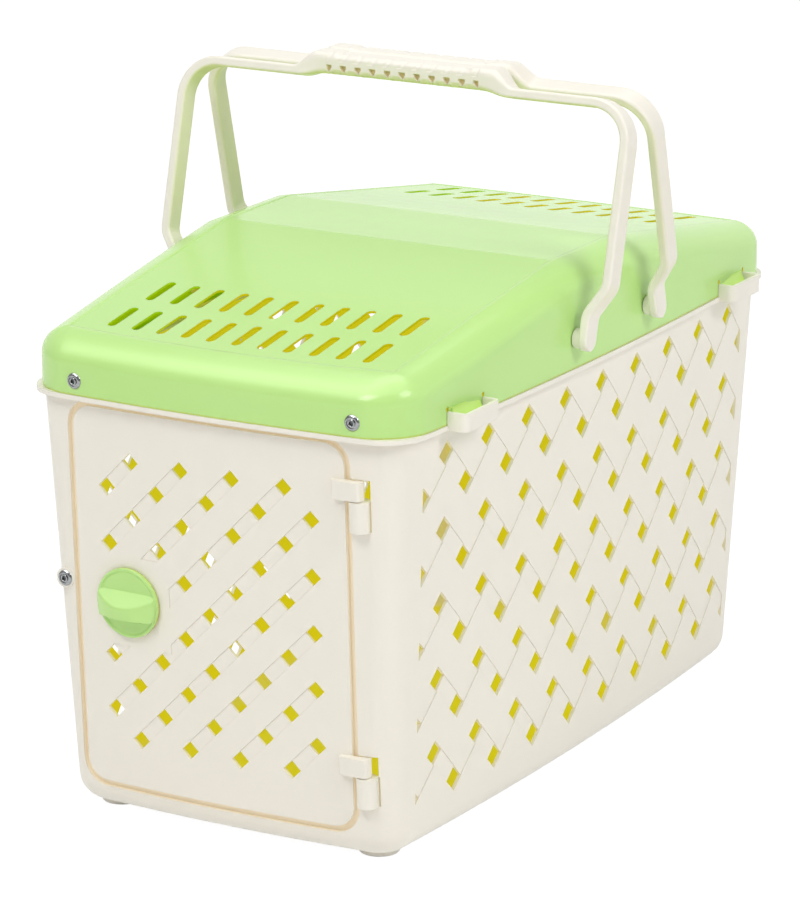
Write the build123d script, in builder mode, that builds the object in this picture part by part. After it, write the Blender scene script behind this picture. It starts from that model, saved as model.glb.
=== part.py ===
"""Pet carrier basket: a lattice tub with a hinged front door, a slotted lid and two folding handles."""

from build123d import *
import os
from math import asin, atan, cos, radians, sin, sqrt, tan

os.makedirs("parts", exist_ok=True)

# Clearances and small fits
running_fit = 0.08
seat_gap = 0.3
edge_gap = 0.6

# Basket walls. Heights are above the ground, plan sizes are to the sharp corners of the outline
foot_height = 2.5
rim_height = 254.1
rim_half_width = 119.6
rim_half_length = 232.3
base_half_width = 109.7
base_half_length = 220.8
rim_corner = 16.0
base_corner = 22.0
side_bow = 7.9
end_bow = 5.4
bottom_radius = 16.4
wall = 2.2

# Rim flange, and the locating lip that stands on it inside the lid
flange_overhang = 6.0
flange_thickness = 2.8
flange_corner = 20.8
lid_step = 1.0
lip_height = 6.0
lip_thickness = 2.0

# Feet
foot_radius = 12.0
foot_inset = 10.0

# Side lattice: diamonds on a staggered grid, joined by zigzag grooves
lattice_pitch = 45.5
lattice_rise = 44.9
lattice_rows = 5
lattice_columns = 9
lattice_top = 238.0
lattice_half_diagonal = 7.75
lattice_end_base = 200.0
lattice_end_rim = 206.5
groove_depth = 0.6

# Door panel in its opening
door_width = 180.1
door_height = 229.8
door_centre_x = -4.55
door_centre_height = 135.4
door_corner = 13.0
door_gap = 3.8
door_thickness = 2.4
stop_overlap = 2.8
stop_thickness = 2.0
stop_land = 4.0
door_hole_pitch = 17.0
door_hole_columns = 9
door_hole_rows = 11
door_hole_side = 8.0
knob_column = 1
knob_shift = -3.85
door_groove_margin = 8.0
door_groove_depth = 0.5

# Door hinges: an open barrel on the wall and an arm with a pin on the door, twice
hinge_x = 94.6
hinge_stand = 0.5
hinge_spacing = 165.0
hinge_arm_bottom = 54.5
hinge_arm_height = 11.0
hinge_arm_proud = 5.5
hinge_arm_reach = 16.0
hinge_arm_past = 2.4
hinge_arm_corner = 2.0
hinge_end_radius = 3.0
hinge_window_radius = 6.9
hinge_barrel_height = 18.0
hinge_barrel_radius = 6.0
hinge_pin_radius = 2.8
hinge_pin_length = 16.0
hinge_slit = 1.0

# Knob, and the latch tongue that it turns behind the door
knob_radius = 21.0
knob_thickness = 3.0
knob_ridge_height = 8.0
knob_ridge_end_height = 2.0
knob_ridge_above = 7.0
knob_ridge_below = 9.0
knob_pad_half = 27.5
knob_rim = 1.6
knob_dish = 0.8
knob_crest_below = 1.2
knob_grip_fall = 0.8
shaft_radius = 6.0
drive_square = 7.0
tongue_length = 43.2
tongue_width = 14.0
tongue_thickness = 3.0
tongue_boss = 2.0
washer_radius = 6.5
washer_thickness = 1.0
screw_head_radius = 4.0
screw_head_height = 2.4
screw_radius = 1.5
screw_length = 9.0
screw_slot = 1.0

# Latch keeper behind the left jamb
keeper_x = -105.0
keeper_height = 142.5
keeper_thickness = 1.5
keeper_width = 22.0
keeper_reach = 12.0
keeper_tail = 4.5
keeper_boss_radius = 6.0
keeper_boss_proud = 1.0
keeper_boss_length = 10.0

# Blind rivets
rivet_head_radius = 4.75
rivet_head_height = 1.7
rivet_shank_radius = 2.4
rivet_bore_radius = 1.35
rivet_dimple = 1.1
rivet_tail_radius = 3.4
rivet_tail_length = 3.0
lid_rivet_x = 91.5
lid_rivet_shift = 2.5
lid_rivet_height = 265.4
rivet_tab_width = 20.0
rivet_tab_height = 15.0

# Lid shell
lid_wall = 2.2
roof_height = 317.5
ridge_half_length = 37.0
roof_fall = 0.151
shoulder_radius = 16.0
slot_columns = 11
slot_pitch = 16.9
slot_length = 28.8
slot_width = 5.6
slot_turn = 90.0
slot_rows = (151.7, 193.0)
slot_row_bow = 3.4

# Snap clips: a strap loop on the flange and a tongue cut in the lid wall, four times
clip_y = 172.0
clip_length = 40.0
clip_reach = 12.1
clip_strap = 2.5
clip_height = 10.6
clip_corner = 5.0
tongue_slit = 1.0
tongue_slit_spacing = 38.0
tongue_slit_height = 8.5
snap_width = 31.0
snap_reach = 4.0
snap_height = 8.0

# Folding handles
pivot_y = 46.0
pivot_height = 275.5
handle_lean = 14.2
eye_x = 140.0
leg_x = 150.8
strap_depth = 14.0
strap_thickness = 6.0
leg_bend_start = 14.0
leg_bend_end = 31.0
leg_bend_radius = 12.0
bar_height = 137.0
bar_corner_radius = 23.0
grip_half_length = 52.0
grip_rise = 4.6
grip_ramp = 15.0
grip_height = 13.4
grip_depth = 17.6
grip_bottom_height = 408.4
grip_edge = 4.0
grip_gap = 0.6
grip_pockets = 11
grip_pocket_pitch = 9.9
grip_pocket_size = 3.4
grip_pocket_depth = 4.0
grip_pocket_height = 5.0
grip_pocket_turn = 30.0
pivot_boss_radius = 6.0
pivot_pin_radius = 4.0
pivot_head_radius = 5.2
pivot_head_length = 2.2
pivot_slit = 1.2
pivot_head_taper = 20.0
strap_edge = 1.8

# Worked out from the sizes above
wall_height = rim_height - foot_height
flange_top = rim_height + flange_thickness
draft = atan((rim_half_length - base_half_length) / wall_height)
lid_outset = flange_overhang - lid_step
lid_half_width = rim_half_width + lid_outset
lid_half_length = rim_half_length + lid_outset
lid_corner = flange_corner + lid_outset
far = 400.0


def plan_outline(half_width, half_length, corner):
    """Plan outline of a wall: four shallow arcs with rounded corners."""
    side_x = half_width + side_bow
    end_y = half_length + end_bow
    with BuildSketch(mode=Mode.PRIVATE) as plan:
        with BuildLine():
            ThreePointArc((half_width, -half_length), (side_x, 0), (half_width, half_length))
            ThreePointArc((half_width, half_length), (0, end_y), (-half_width, half_length))
            ThreePointArc((-half_width, half_length), (-side_x, 0), (-half_width, -half_length))
            ThreePointArc((-half_width, -half_length), (0, -end_y), (half_width, -half_length))
        make_face()
        fillet(plan.vertices(), corner)
    return plan.sketch


def basket_outline(height, inset=0.0):
    """Outline of the tapered basket wall at a height above the ground, moved in by inset."""
    share = (height - foot_height) / wall_height
    half_width = base_half_width + share * (rim_half_width - base_half_width)
    half_length = base_half_length + share * (rim_half_length - base_half_length)
    corner = base_corner + share * (rim_corner - base_corner)
    return plan_outline(half_width - inset, half_length - inset, corner - inset)


def rim_outline(outset):
    """Outline at the rim, moved out by outset."""
    return plan_outline(rim_half_width + outset, rim_half_length + outset, flange_corner + outset)


def basket_solid(inset, top):
    """Solid of the basket inside a surface that lies inset behind the outer wall and floor."""
    with BuildPart() as solid:
        for height in (foot_height + inset, top):
            with BuildSketch(Plane.XY.offset(height)):
                add(basket_outline(height, inset))
        loft(ruled=True)
        fillet(solid.edges().group_by(Axis.Z)[0], bottom_radius - inset)
    return solid.part


def front_wall_y(x, height):
    """The outer face of the front wall at x and a height, before the corner rounding."""
    share = (height - foot_height) / wall_height
    half_width = base_half_width + share * (rim_half_width - base_half_width)
    half_length = base_half_length + share * (rim_half_length - base_half_length)
    return end_wall_y(x, half_width, half_length)


def end_wall_y(x, half_width, half_length):
    """The front arc of an outline at x."""
    radius = end_arc_radius(half_width)
    return radius - half_length - end_bow - sqrt(radius**2 - x**2)


def end_arc_radius(half_width):
    """Radius of the shallow arc of an end wall."""
    return (half_width**2 + end_bow**2) / (2 * end_bow)


def wall_plane(x, y, height, turn, lean):
    """Plane that faces out of a front wall, turned about the vertical and leant by the wall's draft."""
    normal = Vector(sin(turn) * cos(lean), -cos(turn) * cos(lean), -sin(lean))
    return Plane(origin=(x, y, height), x_dir=(cos(turn), sin(turn), 0), z_dir=normal)


def door_outline(margin):
    """Rounded rectangle of the door, grown by margin, drawn in the plane of the front wall."""
    with BuildSketch(mode=Mode.PRIVATE) as shape:
        with Locations((door_centre_x, door_centre_height)):
            RectangleRounded(door_width + 2 * margin, door_height + 2 * margin, door_corner + margin)
    return shape.sketch


def diamond_points(half_width, half_height):
    """Corners of an upright diamond."""
    return [(half_width, 0), (0, half_height), (-half_width, 0), (0, -half_height)]


# The door panel lies in front of a rebate whose depth follows from its thickness
stop_front = door_thickness + edge_gap
stop_back = stop_front + stop_thickness
door_plane = Plane.XZ.offset(base_half_length - bottom_radius - stop_land)

# Door stop: a rebate round the opening that the closed door lies against
with BuildPart() as door_stop:
    add(basket_solid(wall - seat_gap, rim_height))
    add(basket_solid(stop_back, rim_height), mode=Mode.SUBTRACT)
    with BuildSketch(door_plane):
        add(door_outline(door_gap + stop_land))
        add(door_outline(-stop_overlap), mode=Mode.SUBTRACT)
    extrude(amount=far, mode=Mode.INTERSECT)

# The pocket in front of the door stop that the door panel fills
with BuildPart() as door_pocket:
    with BuildSketch(door_plane):
        add(door_outline(door_gap))
    extrude(amount=far)
    add(basket_solid(stop_front, rim_height), mode=Mode.SUBTRACT)

# Side lattice holes, right through both long walls, ending at an upright border
lattice_step = lattice_rise / 2
lattice_half_width = lattice_half_diagonal * lattice_pitch / lattice_rise
upper_columns = [lattice_pitch * (i - (lattice_columns - 1) / 2) for i in range(lattice_columns)]
lower_columns = [lattice_pitch * (i - lattice_columns / 2) for i in range(lattice_columns + 1)]
row_heights = [lattice_top - lattice_rise * row for row in range(lattice_rows)]
upper_diamonds = [(y, z) for z in row_heights for y in upper_columns]
lower_diamonds = [(y, z - lattice_step) for z in row_heights for y in lower_columns]

with BuildSketch(Plane.YZ) as lattice_field:
    Polygon(
        (lattice_end_base, foot_height),
        (lattice_end_rim, rim_height),
        (-lattice_end_rim, rim_height),
        (-lattice_end_base, foot_height),
        align=None,
    )

with BuildSketch(Plane.YZ) as lattice_holes:
    with Locations(*upper_diamonds, *lower_diamonds):
        Polygon(*diamond_points(lattice_half_width, lattice_half_diagonal), align=None)
    add(lattice_field.sketch_local, mode=Mode.INTERSECT)

with BuildSketch(Plane.YZ) as lattice_bands:
    for row_height in row_heights:
        zigzag = []
        for i, y in enumerate(lower_columns):
            zigzag.append((y, row_height - lattice_step))
            if i < len(upper_columns):
                zigzag.append((upper_columns[i], row_height))
        above = [(y, z + lattice_half_diagonal) for y, z in zigzag]
        below = [(y, z - lattice_half_diagonal) for y, z in reversed(zigzag)]
        Polygon(*above, *below, align=None)
    add(lattice_field.sketch_local, mode=Mode.INTERSECT)

# Tub walls: the bands are cut away and a slightly smaller solid put back behind them
with BuildPart() as tub:
    add(basket_solid(0, rim_height))
    extrude(lattice_bands.sketch, amount=far, both=True, mode=Mode.SUBTRACT)
    add(basket_solid(groove_depth, rim_height))
    extrude(lattice_holes.sketch, amount=far, both=True, mode=Mode.SUBTRACT)

# Hinge line of the door, leant like the front wall
hinge_direction = Vector(0, -sin(draft), cos(draft))
hinge_base_y = front_wall_y(hinge_x, hinge_arm_bottom) - hinge_stand
hinge_bottoms = [hinge_arm_bottom, hinge_arm_bottom + hinge_spacing]


def hinge_plane(height):
    """Plane square to the hinge line at a height above the ground."""
    y = hinge_base_y - (height - hinge_arm_bottom) * tan(draft)
    return Plane(origin=(hinge_x, y, height), x_dir=(1, 0, 0), z_dir=hinge_direction)


# Seats of the rivets. The keeper's rivet stands in a boss on the corner, square to the ends of the basket
keeper_seat_y = front_wall_y(keeper_x, keeper_height) - keeper_boss_proud
keeper_seat = wall_plane(keeper_x, keeper_seat_y, keeper_height, 0, 0)
lid_rivet_seats = [
    wall_plane(
        x,
        end_wall_y(x, lid_half_width, lid_half_length),
        lid_rivet_height,
        asin(x / end_arc_radius(lid_half_width)),
        0,
    )
    for x in (lid_rivet_shift - lid_rivet_x, lid_rivet_shift + lid_rivet_x)
]
lid_rivet_seats += [
    Plane(
        origin=(-seat.origin.X, -seat.origin.Y, seat.origin.Z),
        x_dir=-seat.x_dir,
        z_dir=(-seat.z_dir.X, -seat.z_dir.Y, 0),
    )
    for seat in lid_rivet_seats
]
lid_rivet_grip = lid_wall + seat_gap + lip_thickness

# Places of the clips and of the flange lip
lip_outset = lid_outset - lid_wall - seat_gap
clip_wall_x = lid_half_width + side_bow * (1 - (clip_y / lid_half_length) ** 2)
clip_outer_x = clip_wall_x + clip_reach

with BuildSketch(Plane.XY) as clip_loops:
    with GridLocations(2 * (clip_outer_x - clip_reach), 2 * clip_y, 2, 2):
        RectangleRounded(2 * clip_reach, clip_length, clip_corner)
    with GridLocations(2 * (clip_outer_x - clip_strap - clip_reach), 2 * clip_y, 2, 2):
        Rectangle(2 * clip_reach, clip_length - 2 * clip_strap, mode=Mode.SUBTRACT)

with BuildSketch(Plane.XY) as lip_ring:
    add(rim_outline(lip_outset))
    add(rim_outline(lip_outset - lip_thickness), mode=Mode.SUBTRACT)

# Basket
with BuildPart() as basket:
    add(tub.part)
    with BuildSketch(Plane.XY.offset(rim_height)):
        add(rim_outline(flange_overhang))
    extrude(amount=flange_thickness)
    with BuildSketch(Plane.XY.offset(foot_height + wall)):
        foot_x = base_half_width - foot_inset - foot_radius
        foot_y = base_half_length - foot_inset - foot_radius
        with GridLocations(2 * foot_x, 2 * foot_y, 2, 2):
            Circle(foot_radius)
    extrude(amount=-foot_height - wall)
    chamfer(basket.edges().group_by(Axis.Z)[0], foot_height / 4)
    add(basket_solid(wall, flange_top), mode=Mode.SUBTRACT)
    # Locating lip, open behind the lid's snap tongues, with a tab behind each lid rivet
    with BuildSketch(Plane.XY.offset(flange_top)):
        add(lip_ring.sketch_local)
        with GridLocations(2 * clip_wall_x, 2 * clip_y, 2, 2):
            Rectangle(2 * clip_reach, clip_length + 2 * edge_gap, mode=Mode.SUBTRACT)
    extrude(amount=lip_height)
    with BuildSketch(Plane.XY.offset(flange_top)):
        add(lip_ring.sketch_local)
        with Locations(*[(seat.origin.X, seat.origin.Y) for seat in lid_rivet_seats]):
            Rectangle(rivet_tab_width, 2 * lid_corner, mode=Mode.INTERSECT)
    extrude(amount=rivet_tab_height)
    # Strap loops of the clips: joined to the flange below, clear of the lid wall above
    with BuildSketch(Plane.XY.offset(rim_height)):
        add(clip_loops.sketch_local)
    extrude(amount=flange_thickness)
    with BuildSketch(Plane.XY.offset(flange_top)):
        add(clip_loops.sketch_local)
        add(rim_outline(lid_outset + seat_gap), mode=Mode.SUBTRACT)
    extrude(amount=clip_height - flange_thickness)
    # Doorway with its stop
    add(door_stop.part)
    add(door_pocket.part, mode=Mode.SUBTRACT)
    with BuildSketch(door_plane):
        add(door_outline(-stop_overlap))
    extrude(amount=far, mode=Mode.SUBTRACT)
    # Boss for the latch keeper, from the corner rounding in to the keeper plate
    with BuildSketch(keeper_seat):
        Circle(keeper_boss_radius)
    extrude(amount=-keeper_boss_length)
    with BuildSketch(keeper_seat):
        Circle(rivet_shank_radius + running_fit)
    extrude(amount=-keeper_boss_length, mode=Mode.SUBTRACT)
    # Holes for the lid rivets
    for seat in lid_rivet_seats:
        with BuildSketch(seat):
            Circle(rivet_shank_radius + running_fit)
        extrude(amount=-2 * lid_rivet_grip, mode=Mode.SUBTRACT)
    # Hinge barrels, open at the top, each with the window that the arm's end turns in
    for arm_bottom in hinge_bottoms:
        barrel_top = hinge_plane(arm_bottom - edge_gap)
        with BuildSketch(barrel_top):
            Circle(hinge_barrel_radius)
        extrude(amount=-hinge_barrel_height)
        with BuildSketch(barrel_top):
            Circle(hinge_window_radius)
        extrude(amount=hinge_arm_height + 2 * edge_gap, mode=Mode.SUBTRACT)
        with BuildSketch(barrel_top):
            with Locations((hinge_barrel_radius + hinge_slit / 2, hinge_barrel_radius / 2)):
                Rectangle(hinge_slit, hinge_barrel_radius)
        extrude(amount=-hinge_barrel_height, mode=Mode.SUBTRACT)
        with BuildSketch(barrel_top):
            Circle(hinge_pin_radius + running_fit)
        extrude(amount=-hinge_pin_length - edge_gap, mode=Mode.SUBTRACT)
basket.part.label = "basket"
export_step(basket.part, "parts/basket.step")

# Door panel with its lattice
hole_span = door_hole_rows // 2
hole_half_diagonal = door_hole_side / sqrt(2)
knob_x = door_centre_x + (knob_column - door_hole_columns // 2) * door_hole_pitch + knob_shift
knob_turn = asin(knob_x / end_arc_radius(rim_half_width))
knob_y = front_wall_y(knob_x, door_centre_height)
knob_seat = wall_plane(knob_x, knob_y, door_centre_height, knob_turn, draft)
door_bands = []
for diagonal in range(-hole_span - door_hole_columns + 2, hole_span, 2):
    steps = [c for c in range(door_hole_columns) if abs(c + diagonal) <= hole_span]
    door_bands.append([(c * door_hole_pitch, (c + diagonal) * door_hole_pitch) for c in steps])
lattice_left = door_centre_x - (door_hole_columns - 1) / 2 * door_hole_pitch

with BuildSketch(Plane.XZ) as knob_pad:
    with Locations((knob_x, door_centre_height)):
        Rectangle(2 * knob_pad_half, 2 * knob_pad_half)

with BuildSketch(Plane.XZ) as door_holes:
    with Locations((lattice_left, door_centre_height)):
        with Locations(*[place for band in door_bands for place in band]):
            Polygon(*diamond_points(hole_half_diagonal, hole_half_diagonal), align=None)
    add(knob_pad.sketch_local, mode=Mode.SUBTRACT)

with BuildSketch(Plane.XZ) as door_grooves:
    with Locations((lattice_left, door_centre_height)):
        for band in door_bands:
            (low_x, low_z), (high_x, high_z) = band[0], band[-1]
            Polygon(
                (low_x - hole_half_diagonal, low_z),
                (low_x, low_z - hole_half_diagonal),
                (high_x + hole_half_diagonal, high_z),
                (high_x, high_z + hole_half_diagonal),
                align=None,
            )
    add(knob_pad.sketch_local, mode=Mode.SUBTRACT)

with BuildPart() as door_core:
    with BuildSketch(door_plane):
        add(door_outline(0))
    extrude(amount=far)
    add(basket_solid(door_groove_depth, rim_height), mode=Mode.INTERSECT)

with BuildPart() as door:
    with BuildSketch(door_plane):
        add(door_outline(0))
    extrude(amount=far)
    add(basket_solid(0, rim_height), mode=Mode.INTERSECT)
    extrude(door_grooves.sketch, amount=far, mode=Mode.SUBTRACT)
    add(door_core.part)
    add(basket_solid(door_thickness, rim_height), mode=Mode.SUBTRACT)
    extrude(door_holes.sketch, amount=far, mode=Mode.SUBTRACT)
    with BuildSketch(knob_seat):
        Circle(shaft_radius + running_fit)
    extrude(amount=2 * door_thickness, both=True, mode=Mode.SUBTRACT)
    # Hinge arms: a block on the panel, a round end on the hinge line and a pin below it
    for arm_bottom in hinge_bottoms:
        arm_front = hinge_stand - hinge_arm_proud
        panel_edge = door_centre_x + door_width / 2 - hinge_x
        with BuildSketch(hinge_plane(arm_bottom)) as hinge_arm:
            Circle(hinge_end_radius)
            with Locations((-hinge_arm_reach, arm_front)):
                Rectangle(hinge_arm_reach + hinge_arm_past, -arm_front - seat_gap, align=Align.MIN)
                Rectangle(hinge_arm_reach + panel_edge, hinge_arm_proud + door_thickness / 2, align=Align.MIN)
            fillet(hinge_arm.vertices().group_by(Axis.Y)[0], hinge_arm_corner)
        extrude(amount=hinge_arm_height)
        with BuildSketch(hinge_plane(arm_bottom)):
            Circle(hinge_pin_radius)
        extrude(amount=-hinge_pin_length)
door.part.label = "door"
export_step(door.part, "parts/door.step")

# Knob: a dished disc with a ridge grip, a round shaft through the door and a square drive for the tongue
knob_axis = Axis(knob_seat.origin, knob_seat.z_dir)
knob_up = Plane(origin=knob_seat.origin, x_dir=knob_seat.y_dir, z_dir=knob_seat.x_dir)
knob_across = Plane(origin=knob_seat.origin, x_dir=knob_seat.x_dir, z_dir=-knob_seat.y_dir)
knob_face = seat_gap + knob_thickness
dish_face = knob_face - knob_dish
ridge_end = knob_radius - knob_rim
tongue_front = -(keeper_boss_length + keeper_thickness + 3 * seat_gap)
tongue_back = tongue_front - tongue_thickness
screw_seat = tongue_back - washer_thickness

with BuildPart() as knob_ridge:
    with BuildSketch(knob_up):
        Polygon(
            (-knob_ridge_below, seat_gap),
            (-knob_ridge_below, knob_face + knob_ridge_height - knob_grip_fall),
            (-knob_crest_below, knob_face + knob_ridge_height),
            (knob_ridge_above, dish_face),
            (knob_ridge_above, seat_gap),
            align=None,
        )
    extrude(amount=knob_radius, both=True)
    with BuildSketch(knob_across):
        with BuildLine():
            ThreePointArc(
                (-ridge_end, dish_face + knob_ridge_end_height),
                (0, knob_face + knob_ridge_height - edge_gap),
                (ridge_end, dish_face + knob_ridge_end_height),
            )
            Polyline(
                (ridge_end, dish_face + knob_ridge_end_height),
                (ridge_end, 0),
                (-ridge_end, 0),
                (-ridge_end, dish_face + knob_ridge_end_height),
            )
        make_face()
    extrude(amount=knob_radius, both=True, mode=Mode.INTERSECT)
    with BuildSketch(knob_seat):
        Circle(ridge_end)
    extrude(amount=far, mode=Mode.INTERSECT)

with BuildPart() as knob:
    with BuildSketch(knob_across):
        with BuildLine():
            Polyline(
                (0, dish_face),
                (0, seat_gap),
                (knob_radius, seat_gap),
                (knob_radius, knob_face - knob_rim / 2),
                (knob_radius - knob_rim / 2, knob_face),
                (ridge_end, knob_face),
                (ridge_end - knob_dish, dish_face),
                close=True,
            )
        make_face()
    revolve(axis=knob_axis)
    add(knob_ridge.part)
    with BuildSketch(knob_seat.offset(seat_gap)):
        Circle(shaft_radius)
    extrude(amount=tongue_front - seat_gap)
    with BuildSketch(knob_seat.offset(tongue_front)):
        Rectangle(drive_square, drive_square)
    extrude(amount=-tongue_thickness + running_fit)
    with BuildSketch(knob_seat.offset(tongue_back)):
        Circle(screw_radius + running_fit)
    extrude(amount=screw_length, mode=Mode.SUBTRACT)
knob.part.label = "knob"
export_step(knob.part, "parts/knob.step")

# Latch tongue: hangs down behind the door and swings sideways behind the keeper
with BuildPart() as latch_tongue:
    with BuildSketch(knob_seat.offset(tongue_front)):
        Circle(tongue_width / 2 + tongue_boss)
        with Locations((0, -tongue_length / 2 + tongue_width / 4)):
            Rectangle(tongue_width, tongue_length - tongue_width / 2)
        with Locations((0, -tongue_length + tongue_width / 2)):
            Circle(tongue_width / 2)
        Rectangle(drive_square + 2 * running_fit, drive_square + 2 * running_fit, mode=Mode.SUBTRACT)
    extrude(amount=-tongue_thickness)
latch_tongue.part.label = "latch_tongue"
export_step(latch_tongue.part, "parts/latch_tongue.step")

with BuildPart() as latch_washer:
    with BuildSketch(knob_seat.offset(tongue_back)):
        Circle(washer_radius)
        Circle(screw_radius + running_fit, mode=Mode.SUBTRACT)
    extrude(amount=-washer_thickness)
latch_washer.part.label = "latch_washer"
export_step(latch_washer.part, "parts/latch_washer.step")

with BuildPart() as latch_screw:
    with BuildSketch(knob_seat.offset(screw_seat)):
        Circle(screw_head_radius)
    extrude(amount=-screw_head_height)
    chamfer(latch_screw.edges().sort_by(knob_axis)[0], screw_head_height / 3)
    with BuildSketch(knob_seat.offset(screw_seat - screw_head_height)):
        Rectangle(screw_head_radius, screw_slot)
        Rectangle(screw_slot, screw_head_radius)
    extrude(amount=screw_head_height / 2, mode=Mode.SUBTRACT)
    with BuildSketch(knob_seat.offset(screw_seat)):
        Circle(screw_radius)
    extrude(amount=screw_length)
latch_screw.part.label = "latch_screw"
export_step(latch_screw.part, "parts/latch_screw.step")

# Latch keeper: a plate on the inner end of its boss that reaches over the edge of the doorway
keeper_back = keeper_seat.offset(-keeper_boss_length)
with BuildPart() as latch_keeper:
    with BuildSketch(keeper_back):
        with Locations(((keeper_reach - keeper_tail) / 2, 0)):
            RectangleRounded(keeper_reach + keeper_tail, keeper_width, keeper_tail / 2)
        Circle(rivet_shank_radius + running_fit, mode=Mode.SUBTRACT)
    extrude(amount=-keeper_thickness)
latch_keeper.part.label = "latch_keeper"
export_step(latch_keeper.part, "parts/latch_keeper.step")


def blind_rivet(seat, grip):
    """Set blind rivet: domed head on the seat plane, tail closed behind the grip."""
    side = Plane(origin=seat.origin, x_dir=seat.x_dir, z_dir=-seat.y_dir)
    head_seat = running_fit
    tail_seat = -grip - running_fit
    tail_end = tail_seat - rivet_tail_length
    ring_radius = rivet_bore_radius + rivet_dimple
    with BuildPart() as rivet:
        with BuildSketch(side):
            with BuildLine():
                Polyline(
                    (ring_radius, rivet_head_height),
                    (rivet_bore_radius, rivet_head_height - rivet_dimple / 2),
                    (rivet_bore_radius, tail_end),
                    (rivet_shank_radius, tail_end),
                    (rivet_tail_radius, tail_seat - rivet_tail_length / 2),
                    (rivet_shank_radius, tail_seat),
                    (rivet_shank_radius, head_seat),
                    (rivet_head_radius, head_seat),
                    (rivet_head_radius, 2 * seat_gap),
                )
                ThreePointArc(
                    (rivet_head_radius, 2 * seat_gap),
                    ((rivet_head_radius + ring_radius) / 2, rivet_head_height - seat_gap),
                    (ring_radius, rivet_head_height),
                )
            make_face()
        revolve(axis=Axis(seat.origin, seat.z_dir))
    return rivet.part


def rivet_mandrel(seat, grip):
    """Steel pin left in a set blind rivet: broken off below the head, bulbed behind the tail."""
    tail_end = -grip - running_fit - rivet_tail_length
    with BuildPart() as mandrel:
        with BuildSketch(seat.offset(seat_gap)):
            Circle(rivet_bore_radius - running_fit)
        extrude(amount=tail_end - seat_gap)
        with BuildSketch(seat.offset(tail_end)):
            Circle(rivet_shank_radius)
        extrude(amount=-rivet_head_height)
    return mandrel.part


with BuildPart() as lid_rivets:
    for seat in lid_rivet_seats:
        add(blind_rivet(seat, lid_rivet_grip))
lid_rivets.part.label = "lid_rivets"
export_step(lid_rivets.part, "parts/lid_rivets.step")

keeper_grip = keeper_boss_length + keeper_thickness
with BuildPart() as keeper_rivet:
    add(blind_rivet(keeper_seat, keeper_grip))
keeper_rivet.part.label = "keeper_rivet"
export_step(keeper_rivet.part, "parts/keeper_rivet.step")

with BuildPart() as rivet_mandrels:
    for seat in lid_rivet_seats:
        add(rivet_mandrel(seat, lid_rivet_grip))
    add(rivet_mandrel(keeper_seat, keeper_grip))
rivet_mandrels.part.label = "rivet_mandrels"
export_step(rivet_mandrels.part, "parts/rivet_mandrels.step")


def lid_solid(inset, bottom):
    """Solid of the lid inside a surface that lies inset behind the outer face, open downwards to bottom."""
    top = roof_height - inset
    with BuildPart() as block:
        with BuildSketch(Plane.XY.offset(bottom)):
            add(rim_outline(lid_outset - inset))
        extrude(amount=top - bottom)
        with BuildSketch(Plane.YZ):
            Polygon(
                (ridge_half_length, top),
                (far, top),
                (far, top - (far - ridge_half_length) * roof_fall),
                align=None,
            )
            mirror(about=Plane.YZ)
        extrude(amount=far, both=True, mode=Mode.SUBTRACT)
        high_edges = block.edges().filter_by(lambda edge: edge.bounding_box().min.Z > bottom + lip_height)
        roof_edges = high_edges.filter_by(lambda edge: edge.bounding_box().size.Y > ridge_half_length / 10)
        fillet(roof_edges, shoulder_radius - inset)
    return block.part


# Lid
slot_half_span = (slot_columns - 1) / 2 * slot_pitch
with BuildSketch(Plane.XY) as lid_slots:
    for row in slot_rows:
        for i in range(slot_columns):
            x = i * slot_pitch - slot_half_span
            y = -row - slot_row_bow * (1 - (x / slot_half_span) ** 2)
            with Locations((x, y)):
                SlotOverall(slot_length, slot_width, rotation=slot_turn)
    mirror(about=Plane.XZ)

with BuildPart() as lid:
    add(lid_solid(0, flange_top))
    add(lid_solid(lid_wall, flange_top - lid_wall), mode=Mode.SUBTRACT)
    extrude(lid_slots.sketch, amount=far, mode=Mode.SUBTRACT)
    # Snap tongues: two slits in the wall, and a wedge between them that reaches into the strap loop
    for side in (-1, 1):
        with BuildSketch(Plane.XZ.offset(side * clip_y)):
            Polygon(
                (clip_wall_x - lid_wall / 2, flange_top + snap_height),
                (clip_wall_x - lid_wall / 2, flange_top + edge_gap),
                (clip_wall_x + snap_reach, flange_top + edge_gap),
                (clip_wall_x + snap_reach, flange_top + snap_height / 2),
                align=None,
            )
            mirror(about=Plane.YZ)
        extrude(amount=snap_width / 2, both=True)
    with BuildSketch(Plane.YZ):
        for side in (-1, 1):
            for edge in (-1, 1):
                slit_y = side * clip_y + edge * tongue_slit_spacing / 2
                with Locations((slit_y, flange_top + tongue_slit_height / 2)):
                    Rectangle(tongue_slit, tongue_slit_height)
                with Locations((slit_y, flange_top + tongue_slit_height)):
                    Circle(tongue_slit)
        with Locations((-pivot_y, pivot_height), (pivot_y, pivot_height)):
            Circle(pivot_pin_radius + running_fit)
    extrude(amount=far, both=True, mode=Mode.SUBTRACT)
    for seat in lid_rivet_seats:
        with BuildSketch(seat):
            Circle(rivet_shank_radius + running_fit)
        extrude(amount=-lid_rivet_grip, mode=Mode.SUBTRACT)
lid.part.label = "lid"
export_step(lid.part, "parts/lid.step")

# Folding handles: a strap bail with half of the hand grip, turning on two snap pins in the lid walls
lean_direction = Vector(0, sin(radians(handle_lean)), cos(radians(handle_lean)))
bail_normal = Vector(1, 0, 0).cross(lean_direction)
bail_plane = Plane(origin=(0, -pivot_y, pivot_height), x_dir=(1, 0, 0), z_dir=bail_normal)
pivot_wall_x = lid_half_width + side_bow * (1 - (pivot_y / lid_half_length) ** 2)
eye_inner_x = eye_x - strap_thickness / 2
pivot_head_x = pivot_wall_x - lid_wall - seat_gap

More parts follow.
